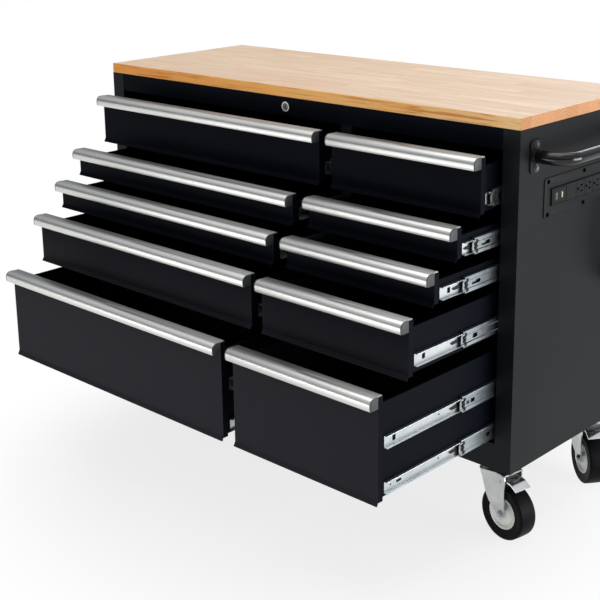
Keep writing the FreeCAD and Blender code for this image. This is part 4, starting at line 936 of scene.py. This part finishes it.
for name, (across, back, angle) in WHEELS.items():
    placed = placed_at(across, back, AXLE_UP, angle)
    tyre = bmesh.new()
    turned(tyre, TYRE, 72, placed)
    finish_piece(f"{name}_tyre", tyre, TYRE_RUBBER, name, [name], smooth=40)
    disc = bmesh.new()
    turned(disc, DISC, 56, placed)
    finish_piece(f"{name}_disc", disc, DISC_ZINC, name, [name], smooth=40)
print("wheels made:", len(WHEELS))

# %% [markdown]
# A swivel fork is pressed from one sheet. Beside the wheel it has a flat strip down to the
# axle, and in front of that a gusset that leans out more and more to the wider crown.
# The leg is a grid of rows and columns: a row's ends follow the outline, a crease runs
# down the edge of the strip, and a second grid one sheet behind closes it to a solid.

# %% Legs of the swivel forks
CROWN_UP, RACE_TOP = 160.0, 172.0
HALF_WIDTH, SHEET = 28.5, 3
TIP_RADIUS = 12
LEG_BACK = TRAIL + TIP_RADIUS
CROWN_FRONT, CROWN_NOSE = -26, -33
STRIP_EDGE = 21.0
LEG_FRONTS = ((AXLE_UP, 20), (70, 15), (84, 3), (104, -8), (128, -17), (162, CROWN_FRONT))
LEG_ROWS = (51.6, 52.4, 54.2, 57.2, 60.5, 63.5, 74, 86, 98, 110, 120, 130, 138, 145, 151, 157,
            CROWN_UP)


def leg_ends(up):
    """Where a leg starts and ends at a height, along the trail."""
    if up < AXLE_UP:
        half = math.sqrt(TIP_RADIUS ** 2 - (AXLE_UP - up) ** 2)
        return TRAIL - half, TRAIL + half
    (low, here), (high, there) = next(pair for pair in zip(LEG_FRONTS, LEG_FRONTS[1:])
                                      if up <= pair[1][0])
    return here + (there - here) * (up - low) / (high - low), LEG_BACK


def share_above(up, start, length):
    """0 below start, and 1 from a length above it."""
    return min(max((up - start) / length, 0), 1)


def leg_lean(along, up):
    """How far the gusset leans out from the flat strip, less what its front is rolled in."""
    slope = 0.20 + 0.14 * share_above(up, 80, 80)
    rolled = max(1 - (along - leg_ends(up)[0]) / 13, 0)
    return max(STRIP_EDGE - along, 0) * slope - 7 * rolled * rolled * share_above(up, 90, 45)


def leg(mesh, side):
    grids = []
    for sheet in (0, SHEET):
        grid = []
        for up in LEG_ROWS:
            first, final = leg_ends(up)
            crease = min(max(STRIP_EDGE, first + 0.3), final - 0.3)
            stops = [first + (crease - first) * k / 10 for k in range(11)]
            stops += [crease + (final - crease) * k / 3 for k in range(1, 4)]
            grid.append([mesh.verts.new((along,
                                         side * (HALF_WIDTH - sheet + leg_lean(along, up)), up))
                         for along in stops])
        grids.append(grid)
    outer, inner = grids
    rows, columns = len(outer), len(outer[0])
    for grid in grids:
        for r in range(rows - 1):
            for c in range(columns - 1):
                mesh.faces.new((grid[r][c], grid[r][c + 1], grid[r + 1][c + 1], grid[r + 1][c]))
    border = [(0, c) for c in range(columns - 1)]
    border += [(r, columns - 1) for r in range(rows - 1)]
    border += [(rows - 1, c) for c in range(columns - 1, 0, -1)]
    border += [(r, 0) for r in range(rows - 1, 0, -1)]
    for (r, c), (r_next, c_next) in zip(border, border[1:] + border[:1]):
        mesh.faces.new((outer[r][c], outer[r_next][c_next], inner[r_next][c_next], inner[r][c]))


# %% [markdown]
# A whole fork is two such legs under a crown, with a spacer, the axle and its nuts. The
# brake pedal and the ball race on top are pieces of their own. All are drawn as if the
# caster stood at the origin and trailed along +X, then turned and moved to their place.


# %% Forks, pedals and ball races
AXLE_RADIUS, NUT_RADIUS, SPACER_RADIUS = 5, 8.4, 3
AXLE_END, NUT_FACE = 34.4, 33
SPACER_PLACE = (31, 143)


def fork_pressing(mesh):
    """Both legs, the crown over them, a spacer, the axle and a nut on each end of it."""
    for side in (-1, 1):
        leg(mesh, side)
    wide = HALF_WIDTH + leg_lean(CROWN_FRONT, CROWN_UP) - 1
    right_half = [(STRIP_EDGE, HALF_WIDTH), (CROWN_FRONT, wide), (CROWN_NOSE, wide - 12)]
    crown = ([(LEG_BACK, -HALF_WIDTH), (LEG_BACK, HALF_WIDTH)] + right_half
             + [(along, -aside) for along, aside in reversed(right_half)])
    pushed(mesh, crown, 2, CROWN_UP - SHEET, CROWN_UP)
    pushed(mesh, ring_of(SPACER_PLACE, SPACER_RADIUS, 16), 1, -HALF_WIDTH, HALF_WIDTH)
    pushed(mesh, ring_of((TRAIL, AXLE_UP), AXLE_RADIUS, 20), 1, -AXLE_END, AXLE_END)
    for start, stop in ((-NUT_FACE, -HALF_WIDTH), (HALF_WIDTH, NUT_FACE)):
        pushed(mesh, ring_of((TRAIL, AXLE_UP), NUT_RADIUS, 6, 20), 1, start, stop)


PEDAL = [(28.2, 147.8), (25.9, 145.2), (25.5, 142.6), (27.2, 139.3), (31, 137.6), (36, 143.0),
         (56, 140.4), (59.5, 138.9), (73.6, 129.0), (75.2, 131.2), (61, 141.4), (57, 143.2),
         (38, 146.6), (34, 148.0)]
PEDAL_HALF_WIDTH = 23
RACE_RADIUS = 25

# The ball race is drawn in the dark bolt steel: painted shade, as it lies in the shade under the
# cabinet.
for end, (back, angle) in CASTERS.items():
    fork = bmesh.new()
    fork_pressing(fork)
    pedal = bmesh.new()
    pushed(pedal, PEDAL, 1, -PEDAL_HALF_WIDTH, PEDAL_HALF_WIDTH)
    race = bmesh.new()
    pushed(race, ring_of((0, 0), RACE_RADIUS, 48), 2, CROWN_UP, RACE_TOP)
    placed = placed_at(SWIVEL_ACROSS, back, 0, angle)
    for mesh in (fork, pedal, race):
        bmesh.ops.transform(mesh, matrix=placed, verts=mesh.verts)
    finish_piece(f"{end}_fork_pressing", fork, FORK_ZINC, f"{end}_swivel",
                 [f"{end}_swivel_fork"], edge=0.6, smooth=24)
    finish_piece(f"{end}_pedal_pressing", pedal, PEDAL_ZINC, f"{end}_pedal",
                 [f"{end}_brake_pedal"], edge=0.5, smooth=24)
    finish_piece(f"{end}_ball_race", race, BOLT_STEEL, f"{end}_swivel",
                 [f"{end}_swivel_fork"], edge=1.2)
print("forks made:", len(CASTERS))

# %% [markdown]
# The push handle is one bent tube with a plate welded on each end. The path is a list of
# points with real arcs at the bends. The plates are rounded, with a weld round the tube,
# and a piece of their own, because their paint is duller. Their bolts follow below.

# %% Push handle
HANDLE_UP = 883.0
HANDLE_ENDS = (57.0, 433.0)
BAR_ACROSS = SIDE_FACE + 75
TUBE_RADIUS, BEND_RADIUS = 14, 42
PLATE_FACE = SIDE_FACE + 3
PLATE_HALF_WIDTH, PLATE_HALF_HEIGHT = 22, 36
WELD = [(0, 14.0), (0, 17.2), (1.6, 16.4), (3.2, 15.0), (3.6, 14.0)]

near, far = HANDLE_ENDS
handle_path = [(SIDE_FACE + 0.5, near), (BAR_ACROSS - BEND_RADIUS, near)]
handle_path += arc((BAR_ACROSS - BEND_RADIUS, near + BEND_RADIUS), BEND_RADIUS, -90, 0, 14)
handle_path += [(BAR_ACROSS, 180), (BAR_ACROSS, 310)]
handle_path += arc((BAR_ACROSS - BEND_RADIUS, far - BEND_RADIUS), BEND_RADIUS, 0, 90, 14)
handle_path += [(SIDE_FACE + 0.5, far)]
handle = bmesh.new()
piped(handle, [(x, y, HANDLE_UP) for x, y in handle_path], TUBE_RADIUS, 40)
handle_plates = bmesh.new()
for middle in HANDLE_ENDS:
    outline = rounded_box(middle - PLATE_HALF_WIDTH, HANDLE_UP - PLATE_HALF_HEIGHT,
                          middle + PLATE_HALF_WIDTH, HANDLE_UP + PLATE_HALF_HEIGHT, 11, 8)
    plate(handle_plates, outline, [], 0, SIDE_FACE, PLATE_FACE)
    turned(handle_plates, WELD, 40, placed_at(PLATE_FACE, middle, HANDLE_UP, -90))
finish_piece("push_handle_bar", handle, HANDLE_PAINT, "cabinet", ["push_handle"],
             smooth=34)
finish_piece("push_handle_plates", handle_plates, BRACKET_PAINT, "cabinet",
             ["push_handle"], smooth=34)
print("handle stands out by:", BAR_ACROSS + TUBE_RADIUS - SIDE_FACE, "mm")

# %% [markdown]
# Screws and bolts repeat, so a small geometry-node tree lays them out: it puts one head on
# every point of a mesh and ends in real geometry. The head is drawn once; the points say
# where. The modifier is turned into a plain mesh straight away.


# %% Geometry nodes that set a head on every point
def heads_tree():
    tree = bpy.data.node_groups.new("heads_on_points", "GeometryNodeTree")
    tree.is_modifier = True
    tree.interface.new_socket("Places", in_out="INPUT", socket_type="NodeSocketGeometry")
    tree.interface.new_socket("Head", in_out="INPUT", socket_type="NodeSocketObject")
    tree.interface.new_socket("Head size", in_out="INPUT", socket_type="NodeSocketFloat")
    tree.interface.new_socket("Finish", in_out="INPUT", socket_type="NodeSocketMaterial")
    tree.interface.new_socket("Heads", in_out="OUTPUT", socket_type="NodeSocketGeometry")
    given = tree.nodes.new("NodeGroupInput")
    result = tree.nodes.new("NodeGroupOutput")
    head = tree.nodes.new("GeometryNodeObjectInfo")
    spread = tree.nodes.new("GeometryNodeInstanceOnPoints")
    real = tree.nodes.new("GeometryNodeRealizeInstances")
    coat = tree.nodes.new("GeometryNodeSetMaterial")
    join = tree.links.new
    join(given.outputs["Head"], head.inputs["Object"])
    join(given.outputs["Places"], spread.inputs["Points"])
    join(head.outputs["Geometry"], spread.inputs["Instance"])
    join(given.outputs["Head size"], spread.inputs["Scale"])
    join(spread.outputs["Instances"], real.inputs["Geometry"])
    join(real.outputs["Geometry"], coat.inputs["Geometry"])
    join(given.outputs["Finish"], coat.inputs["Material"])
    join(coat.outputs["Geometry"], result.inputs["Heads"])
    return tree


HEADS = heads_tree()


def heads_on(name, places, head, size, material, body, stands_for=()):
    """Real heads on the given places, as one plain mesh riding on a body."""
    points = bpy.data.meshes.new(f"{name}_places")
    points.from_pydata([in_scene(*place) for place in places], [], [])
    carrier = bpy.data.objects.new(f"{name}_carrier", points)
    bpy.context.scene.collection.objects.link(carrier)
    modifier = carrier.modifiers.new("heads", "NODES")
    modifier.node_group = HEADS
    sockets = {s.name: s.identifier for s in HEADS.interface.items_tree if s.in_out == "INPUT"}
    modifier[sockets["Head"]] = head
    modifier[sockets["Head size"]] = size
    modifier[sockets["Finish"]] = material
    held = bpy.context.evaluated_depsgraph_get()
    data = bpy.data.meshes.new_from_object(carrier.evaluated_get(held))
    data.name = name
    bpy.data.objects.remove(carrier)
    hand_over(name, data, body, stands_for, SMOOTH_UNDER)
    print(name, "heads:", len(places))


# %% [markdown]
# Two heads are needed: a domed cross-head screw for thin sheet, and a hexagon bolt with a
# washer for the push handle. Both point along +X here, out of the side panel.


# %% Screw and bolt heads
def head_object(name, mesh):
    welded(mesh)
    for vertex in mesh.verts:
        vertex.co = vertex.co / 1000
    data = bpy.data.meshes.new(name)
    mesh.to_mesh(data)
    mesh.free()
    return bpy.data.objects.new(name, data)


facing_right = placed_at(0, 0, 0, -90)
screw = bmesh.new()
turned(screw, [(0, 0), (0, 3.9), (0.7, 3.9), (1.5, 3.2), (2.1, 2.0), (2.3, 1.5), (1.3, 1.2),
               (1.3, 0)], 20, facing_right)
SCREW = head_object("screw_head", screw)

bolt = bmesh.new()
turned(bolt, [(0, 0), (0, 8.2), (0.9, 8.2), (1.1, 7.9), (1.1, 0)], 28, facing_right)
turned(bolt, [(1.0, 0), (1.0, 6.4), (3.2, 6.4), (4.0, 5.2), (4.0, 0)], 6, facing_right)
BOLT = head_object("bolt_head", bolt)

# %% Bolts of the push handle
BOLT_ASIDE = 25
heads_on("handle_bolt_heads",
         [(PLATE_FACE, middle, HANDLE_UP + side * BOLT_ASIDE)
          for middle in HANDLE_ENDS for side in (-1, 1)],
         BOLT, 1.0, BOLT_STEEL, "cabinet", ["handle_bolts"])

# %% [markdown]
# The power panel is a rounded plate with six screws. In its window sits a strip with two
# charging ports, a blank, three outlets lying on their side and a red switch. The strip's
# solid has the slots already; thin black lines and rims, painted shade of its seams and
# round its slots, and the ports are laid on it here.

# %% Power panel
PANEL_START, PANEL_END, PANEL_UP = 94.0, 406.0, 783.5
PANEL_MIDDLE = (PANEL_START + PANEL_END) / 2
PANEL_FACE = SIDE_FACE + 2
PANEL_HALF_HEIGHT = 44
STRIP_START, STRIP_LENGTH = 118.0, 264.0
STRIP_END = STRIP_START + STRIP_LENGTH
PLAY = 0.3
WINDOW_HALF_HEIGHT = 19.3

window = [(STRIP_START - PLAY, PANEL_UP - WINDOW_HALF_HEIGHT),
          (STRIP_START - PLAY, PANEL_UP + WINDOW_HALF_HEIGHT),
          (STRIP_END + PLAY, PANEL_UP + WINDOW_HALF_HEIGHT),
          (STRIP_END + PLAY, PANEL_UP - WINDOW_HALF_HEIGHT)]
panel_outline = rounded_box(PANEL_START, -PANEL_HALF_HEIGHT, PANEL_END, PANEL_HALF_HEIGHT, 8, 8)
panel = bmesh.new()
plate(panel, moved(panel_outline, 0, PANEL_UP), [window], 0, SIDE_FACE, PANEL_FACE)
finish_piece("power_panel_plate", panel, BLACK_PLASTIC, "cabinet",
             ["power_panel"], edge=0.5, smooth=40)
heads_on("power_panel_screws",
         [(PANEL_FACE, PANEL_MIDDLE + aside, PANEL_UP + up)
          for aside in (-143, 0, 143) for up in (-36, 36)],
         SCREW, 1.25, SLOT_BLACK, "cabinet")

# %% Lines and rims of the strip, painted shade
STRIP_FACE = 1325.0
LINE_PLACES = (57, 97, 131, 164, 198)
OUTLET_PLACES = (97, 131, 164)


def rim(mesh, start, low, end, high, wide, thick):
    """A thin raised frame round an opening of the strip."""
    left, right_edge = STRIP_START + start, STRIP_START + end
    outer = rounded_box(left - wide, PANEL_UP + low - wide, right_edge + wide,
                        PANEL_UP + high + wide, wide, 3)
    inner = [(left, PANEL_UP + low), (left, PANEL_UP + high), (right_edge, PANEL_UP + high),
             (right_edge, PANEL_UP + low)]
    plate(mesh, outer, [inner], 0, STRIP_FACE - 0.2, STRIP_FACE + thick)


# The black lines and rims are painted shade: in the seams between the strip's cells, round its
# edge and round each slot.
lines = bmesh.new()
for start in LINE_PLACES:
    middle = STRIP_START + start
    pushed(lines, [(middle - 0.6, PANEL_UP - 18), (middle + 0.6, PANEL_UP - 18),
                   (middle + 0.6, PANEL_UP + 18), (middle - 0.6, PANEL_UP + 18)],
           0, STRIP_FACE - 0.2, STRIP_FACE + 0.08)
rim(lines, 1.0, -18, 263, 18, 0.6, 0.08)
rim(lines, 7, -15, 55, 15, 0.8, 0.08)
for start in OUTLET_PLACES:
    rim(lines, start + 17, 5.3, start + 25, 7.3, 0.7, 0.1)
    rim(lines, start + 17, -7.3, start + 25, -5.3, 0.7, 0.1)
    rim(lines, start + 5, -2.4, start + 10, 2.4, 0.7, 0.1)
finish_piece("strip_lines", lines, SLOT_BLACK, "cabinet")

bezel = bmesh.new()
rim(bezel, 240, -11.5, 256, 11.5, 2.6, 1.0)
finish_piece("switch_bezel", bezel, DEEP_BLACK, "cabinet", edge=0.3)

# %% Charging ports
for name, start, tongue_finish in (("first", 15.5, PORT_OCHRE), ("second", 37.5, PORT_CREAM)):
    shell = bmesh.new()
    rim(shell, start, -6, start + 5, 6, 0.8, 0.5)
    finish_piece(f"{name}_port_shell", shell, PORT_STEEL, "cabinet", edge=0.1)
    tongue = bmesh.new()
    outline = rounded_box(STRIP_START + start + 1.7, PANEL_UP - 5.2,
                          STRIP_START + start + 3.5, PANEL_UP + 5.2, 0.3)
    plate(tongue, outline, [], 0, STRIP_FACE - 4, STRIP_FACE + 0.3)
    finish_piece(f"{name}_port_tongue", tongue, tongue_finish, "cabinet",
                 edge=0.1)

# %% [markdown]
# The lock is a small thing that is easy to leave too plain. Its plug gets a black key slot,
# painted shade of the slot's mouth, and the collar a black ring where the plug meets it,
# painted shade of the gap between them. The slot turns with the plug, so it rides on the
# lock's own body.

# %% Key slot and ring of the lock, both painted shade
collar_low, collar_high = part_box("lock_cylinder")
lock_across = (collar_low[0] + collar_high[0]) * 500 + ORIGIN_ACROSS
lock_up = (collar_low[2] + collar_high[2]) * 500
lock_face = collar_low[1] * 1000 + ORIGIN_BACK
# A black plate is painted shade of the key slot's mouth.
slot = bmesh.new()
plate(slot, rounded_box(lock_across - 1.2, lock_up - 4.8, lock_across + 1.2, lock_up + 4.8, 0.8),
      [], 1, lock_face - 0.08, lock_face + 1)
finish_piece("key_slot", slot, SLOT_BLACK, "lock")
# A black ring is painted shade of the gap between plug and collar.
gap_shade = bmesh.new()
middle = (lock_across, lock_up)
plate(gap_shade, ring_of(middle, 8.3, 40), [ring_of(middle, 7.1, 40)], 1, lock_face - 0.08,
      lock_face + 0.5)
finish_piece("lock_ring", gap_shade, SLOT_BLACK, "cabinet")
print("lock at:", round(lock_across, 1), "across,", round(lock_up, 1), "up")

# %% [markdown]
# The back of such a cabinet is a plain sheet, riveted to the folded edges round it. The
# same geometry-node tree that sets the screws sets the rivets; only the head is new.

# %% Rivets on the back
rivet = bmesh.new()
turned(rivet, [(0, 0), (0, 3.4), (0.4, 3.2), (0.85, 2.1), (1.05, 0)], 18)
RIVET = head_object("rivet_head", rivet)
BACK_FACE = 488.8
UPRIGHT_ROWS = (38, 1282)
LEVEL_ROWS = (205, 920)
rivet_places = [(x, BACK_FACE, z) for x in UPRIGHT_ROWS for z in range(230, 920, 98)]
rivet_places += [(x, BACK_FACE, z) for z in LEVEL_ROWS for x in range(140, 1200, 130)]
heads_on("back_rivets", rivet_places, RIVET, 1.0, CARCASS_PAINT, "cabinet")

# %% [markdown]
# The setting is a plain white floor under soft light, like the photograph's. The floor
# looks white to the camera and in whatever mirrors it, but throws no more light on the
# cabinet than pale paper does. Four lamps do the lighting: one lies over the top, one
# shapes the side from the right, a low strip lifts the drawer fronts just above black, and
# a bluish one stands far behind, where a window might be.


# %% Floor
def blend_to(tree, output, factor, first, second):
    """Sends a blend of two shaders to the output of a material or of the world."""
    blend = add_node(tree, "ShaderNodeMixShader")
    for source, socket in zip((factor, first.outputs[0], second.outputs[0]), blend.inputs):
        tree.links.new(source, socket)
    tree.links.new(blend.outputs[0], tree.nodes[output].inputs["Surface"])


floor_mesh = bmesh.new()
bmesh.ops.create_grid(floor_mesh, x_segments=1, y_segments=1, size=14)
floor_data = bpy.data.meshes.new("floor")
floor_mesh.to_mesh(floor_data)
floor_mesh.free()
floor = bpy.data.objects.new("floor", floor_data)
bpy.context.scene.collection.objects.link(floor)
floor_finish, floor_tree, floor_shader = new_finish("floor_paper")
floor_shader.inputs["Base Color"].default_value = (0.62, 0.62, 0.64, 1)
floor_shader.inputs["Roughness"].default_value = 0.9
floor_shader.inputs["Specular IOR Level"].default_value = 0.0
away = add_node(floor_tree, "ShaderNodeVectorMath", {"operation": "LENGTH"})
floor_tree.links.new(place_in_metres(floor_tree), away.inputs[0])
paleness = levels(floor_tree, away.outputs["Value"], 0.80, 1.0, 0.5, 1.0, "SMOOTHSTEP")
glow = add_node(floor_tree, "ShaderNodeEmission", values={"Strength": 1.0})
seen = add_node(floor_tree, "ShaderNodeLightPath")
seen_or_mirrored = maths(floor_tree, "MAXIMUM", seen.outputs["Is Camera Ray"],
                         seen.outputs["Is Glossy Ray"])
blend_to(floor_tree, "Material Output", maths(floor_tree, "MULTIPLY", seen_or_mirrored, paleness),
         floor_shader, glow)
floor_data.materials.append(floor_finish)

# %% [markdown]
# The world is what the glossy paint and the steel mirror: dim walls, brighter behind and
# to the right, under a pale ceiling. The camera itself sees plain white.

# %% World
world = bpy.data.worlds.new("studio")
bpy.context.scene.world = world
world.use_nodes = True
world_tree = world.node_tree
background = world_tree.nodes["Background"]
world_coordinates = add_node(world_tree, "ShaderNodeTexCoord")
heading = separated(world_tree, world_coordinates.outputs["Generated"])
behind = maths(world_tree, "ADD", maths(world_tree, "MULTIPLY", heading["X"], 0.35),
               maths(world_tree, "MULTIPLY", heading["Y"], 0.35))
walls = ramp(world_tree, maths(world_tree, "ADD", behind, 0.5),
             [(0.0, (0.06, 0.065, 0.08)), (0.42, (0.09, 0.095, 0.115)),
              (0.78, (0.36, 0.38, 0.40)), (1.0, (0.46, 0.48, 0.50))])
ceiling = ramp(world_tree, heading["Z"],
               [(0.0, (0.14, 0.15, 0.17)), (0.3, (0.56, 0.60, 0.65)),
                (0.6, (0.88, 0.90, 0.93)), (1.0, (0.80, 0.81, 0.83))])
height = levels(world_tree, heading["Z"], 0.0, 1.0, 0.04, 0.46, "SMOOTHSTEP")
world_tree.links.new(mixed(world_tree, height, walls, ceiling), background.inputs["Color"])
background.inputs["Strength"].default_value = 0.8
white = add_node(world_tree, "ShaderNodeBackground", values={"Strength": 1.0})
white.inputs["Color"].default_value = (1, 1, 1, 1)
rays = add_node(world_tree, "ShaderNodeLightPath")
blend_to(world_tree, "World Output", rays.outputs["Is Camera Ray"], background, white)


# %% Lamps
def soft_lamp(name, place, target, width, height, power, colour=(1, 1, 1)):
    data = bpy.data.lights.new(name, "AREA")
    data.shape = "RECTANGLE"
    data.size = width
    data.size_y = height
    data.energy = power
    data.color = colour
    lamp = bpy.data.objects.new(name, data)
    way = Vector(target) - Vector(place)
    lamp.matrix_world = (Matrix.Translation(place)
                         @ way.to_track_quat("-Z", "Y").to_matrix().to_4x4())
    lamp.visible_camera = False
    bpy.context.scene.collection.objects.link(lamp)


soft_lamp("over_top", (0.3, 0.1, 3.4), (0, 0.1, 0.5), 3.2, 2.0, 44)
soft_lamp("right_side", (3.5, 1.0, 0.7), (0.5, 0, 0.3), 2.2, 1.4, 92)
soft_lamp("front_low", (-0.4, -1.85, 0.12), (-0.2, -0.3, 0.4), 2.6, 0.24, 9)
soft_lamp("far_window", (-0.9, 4.2, 3.0), (0.6, 0.2, 0.9), 2.4, 1.2, 30, (0.82, 0.91, 1.0))
print("lamps made: 4")

bpy.context.scene.view_settings.view_transform = "Standard"
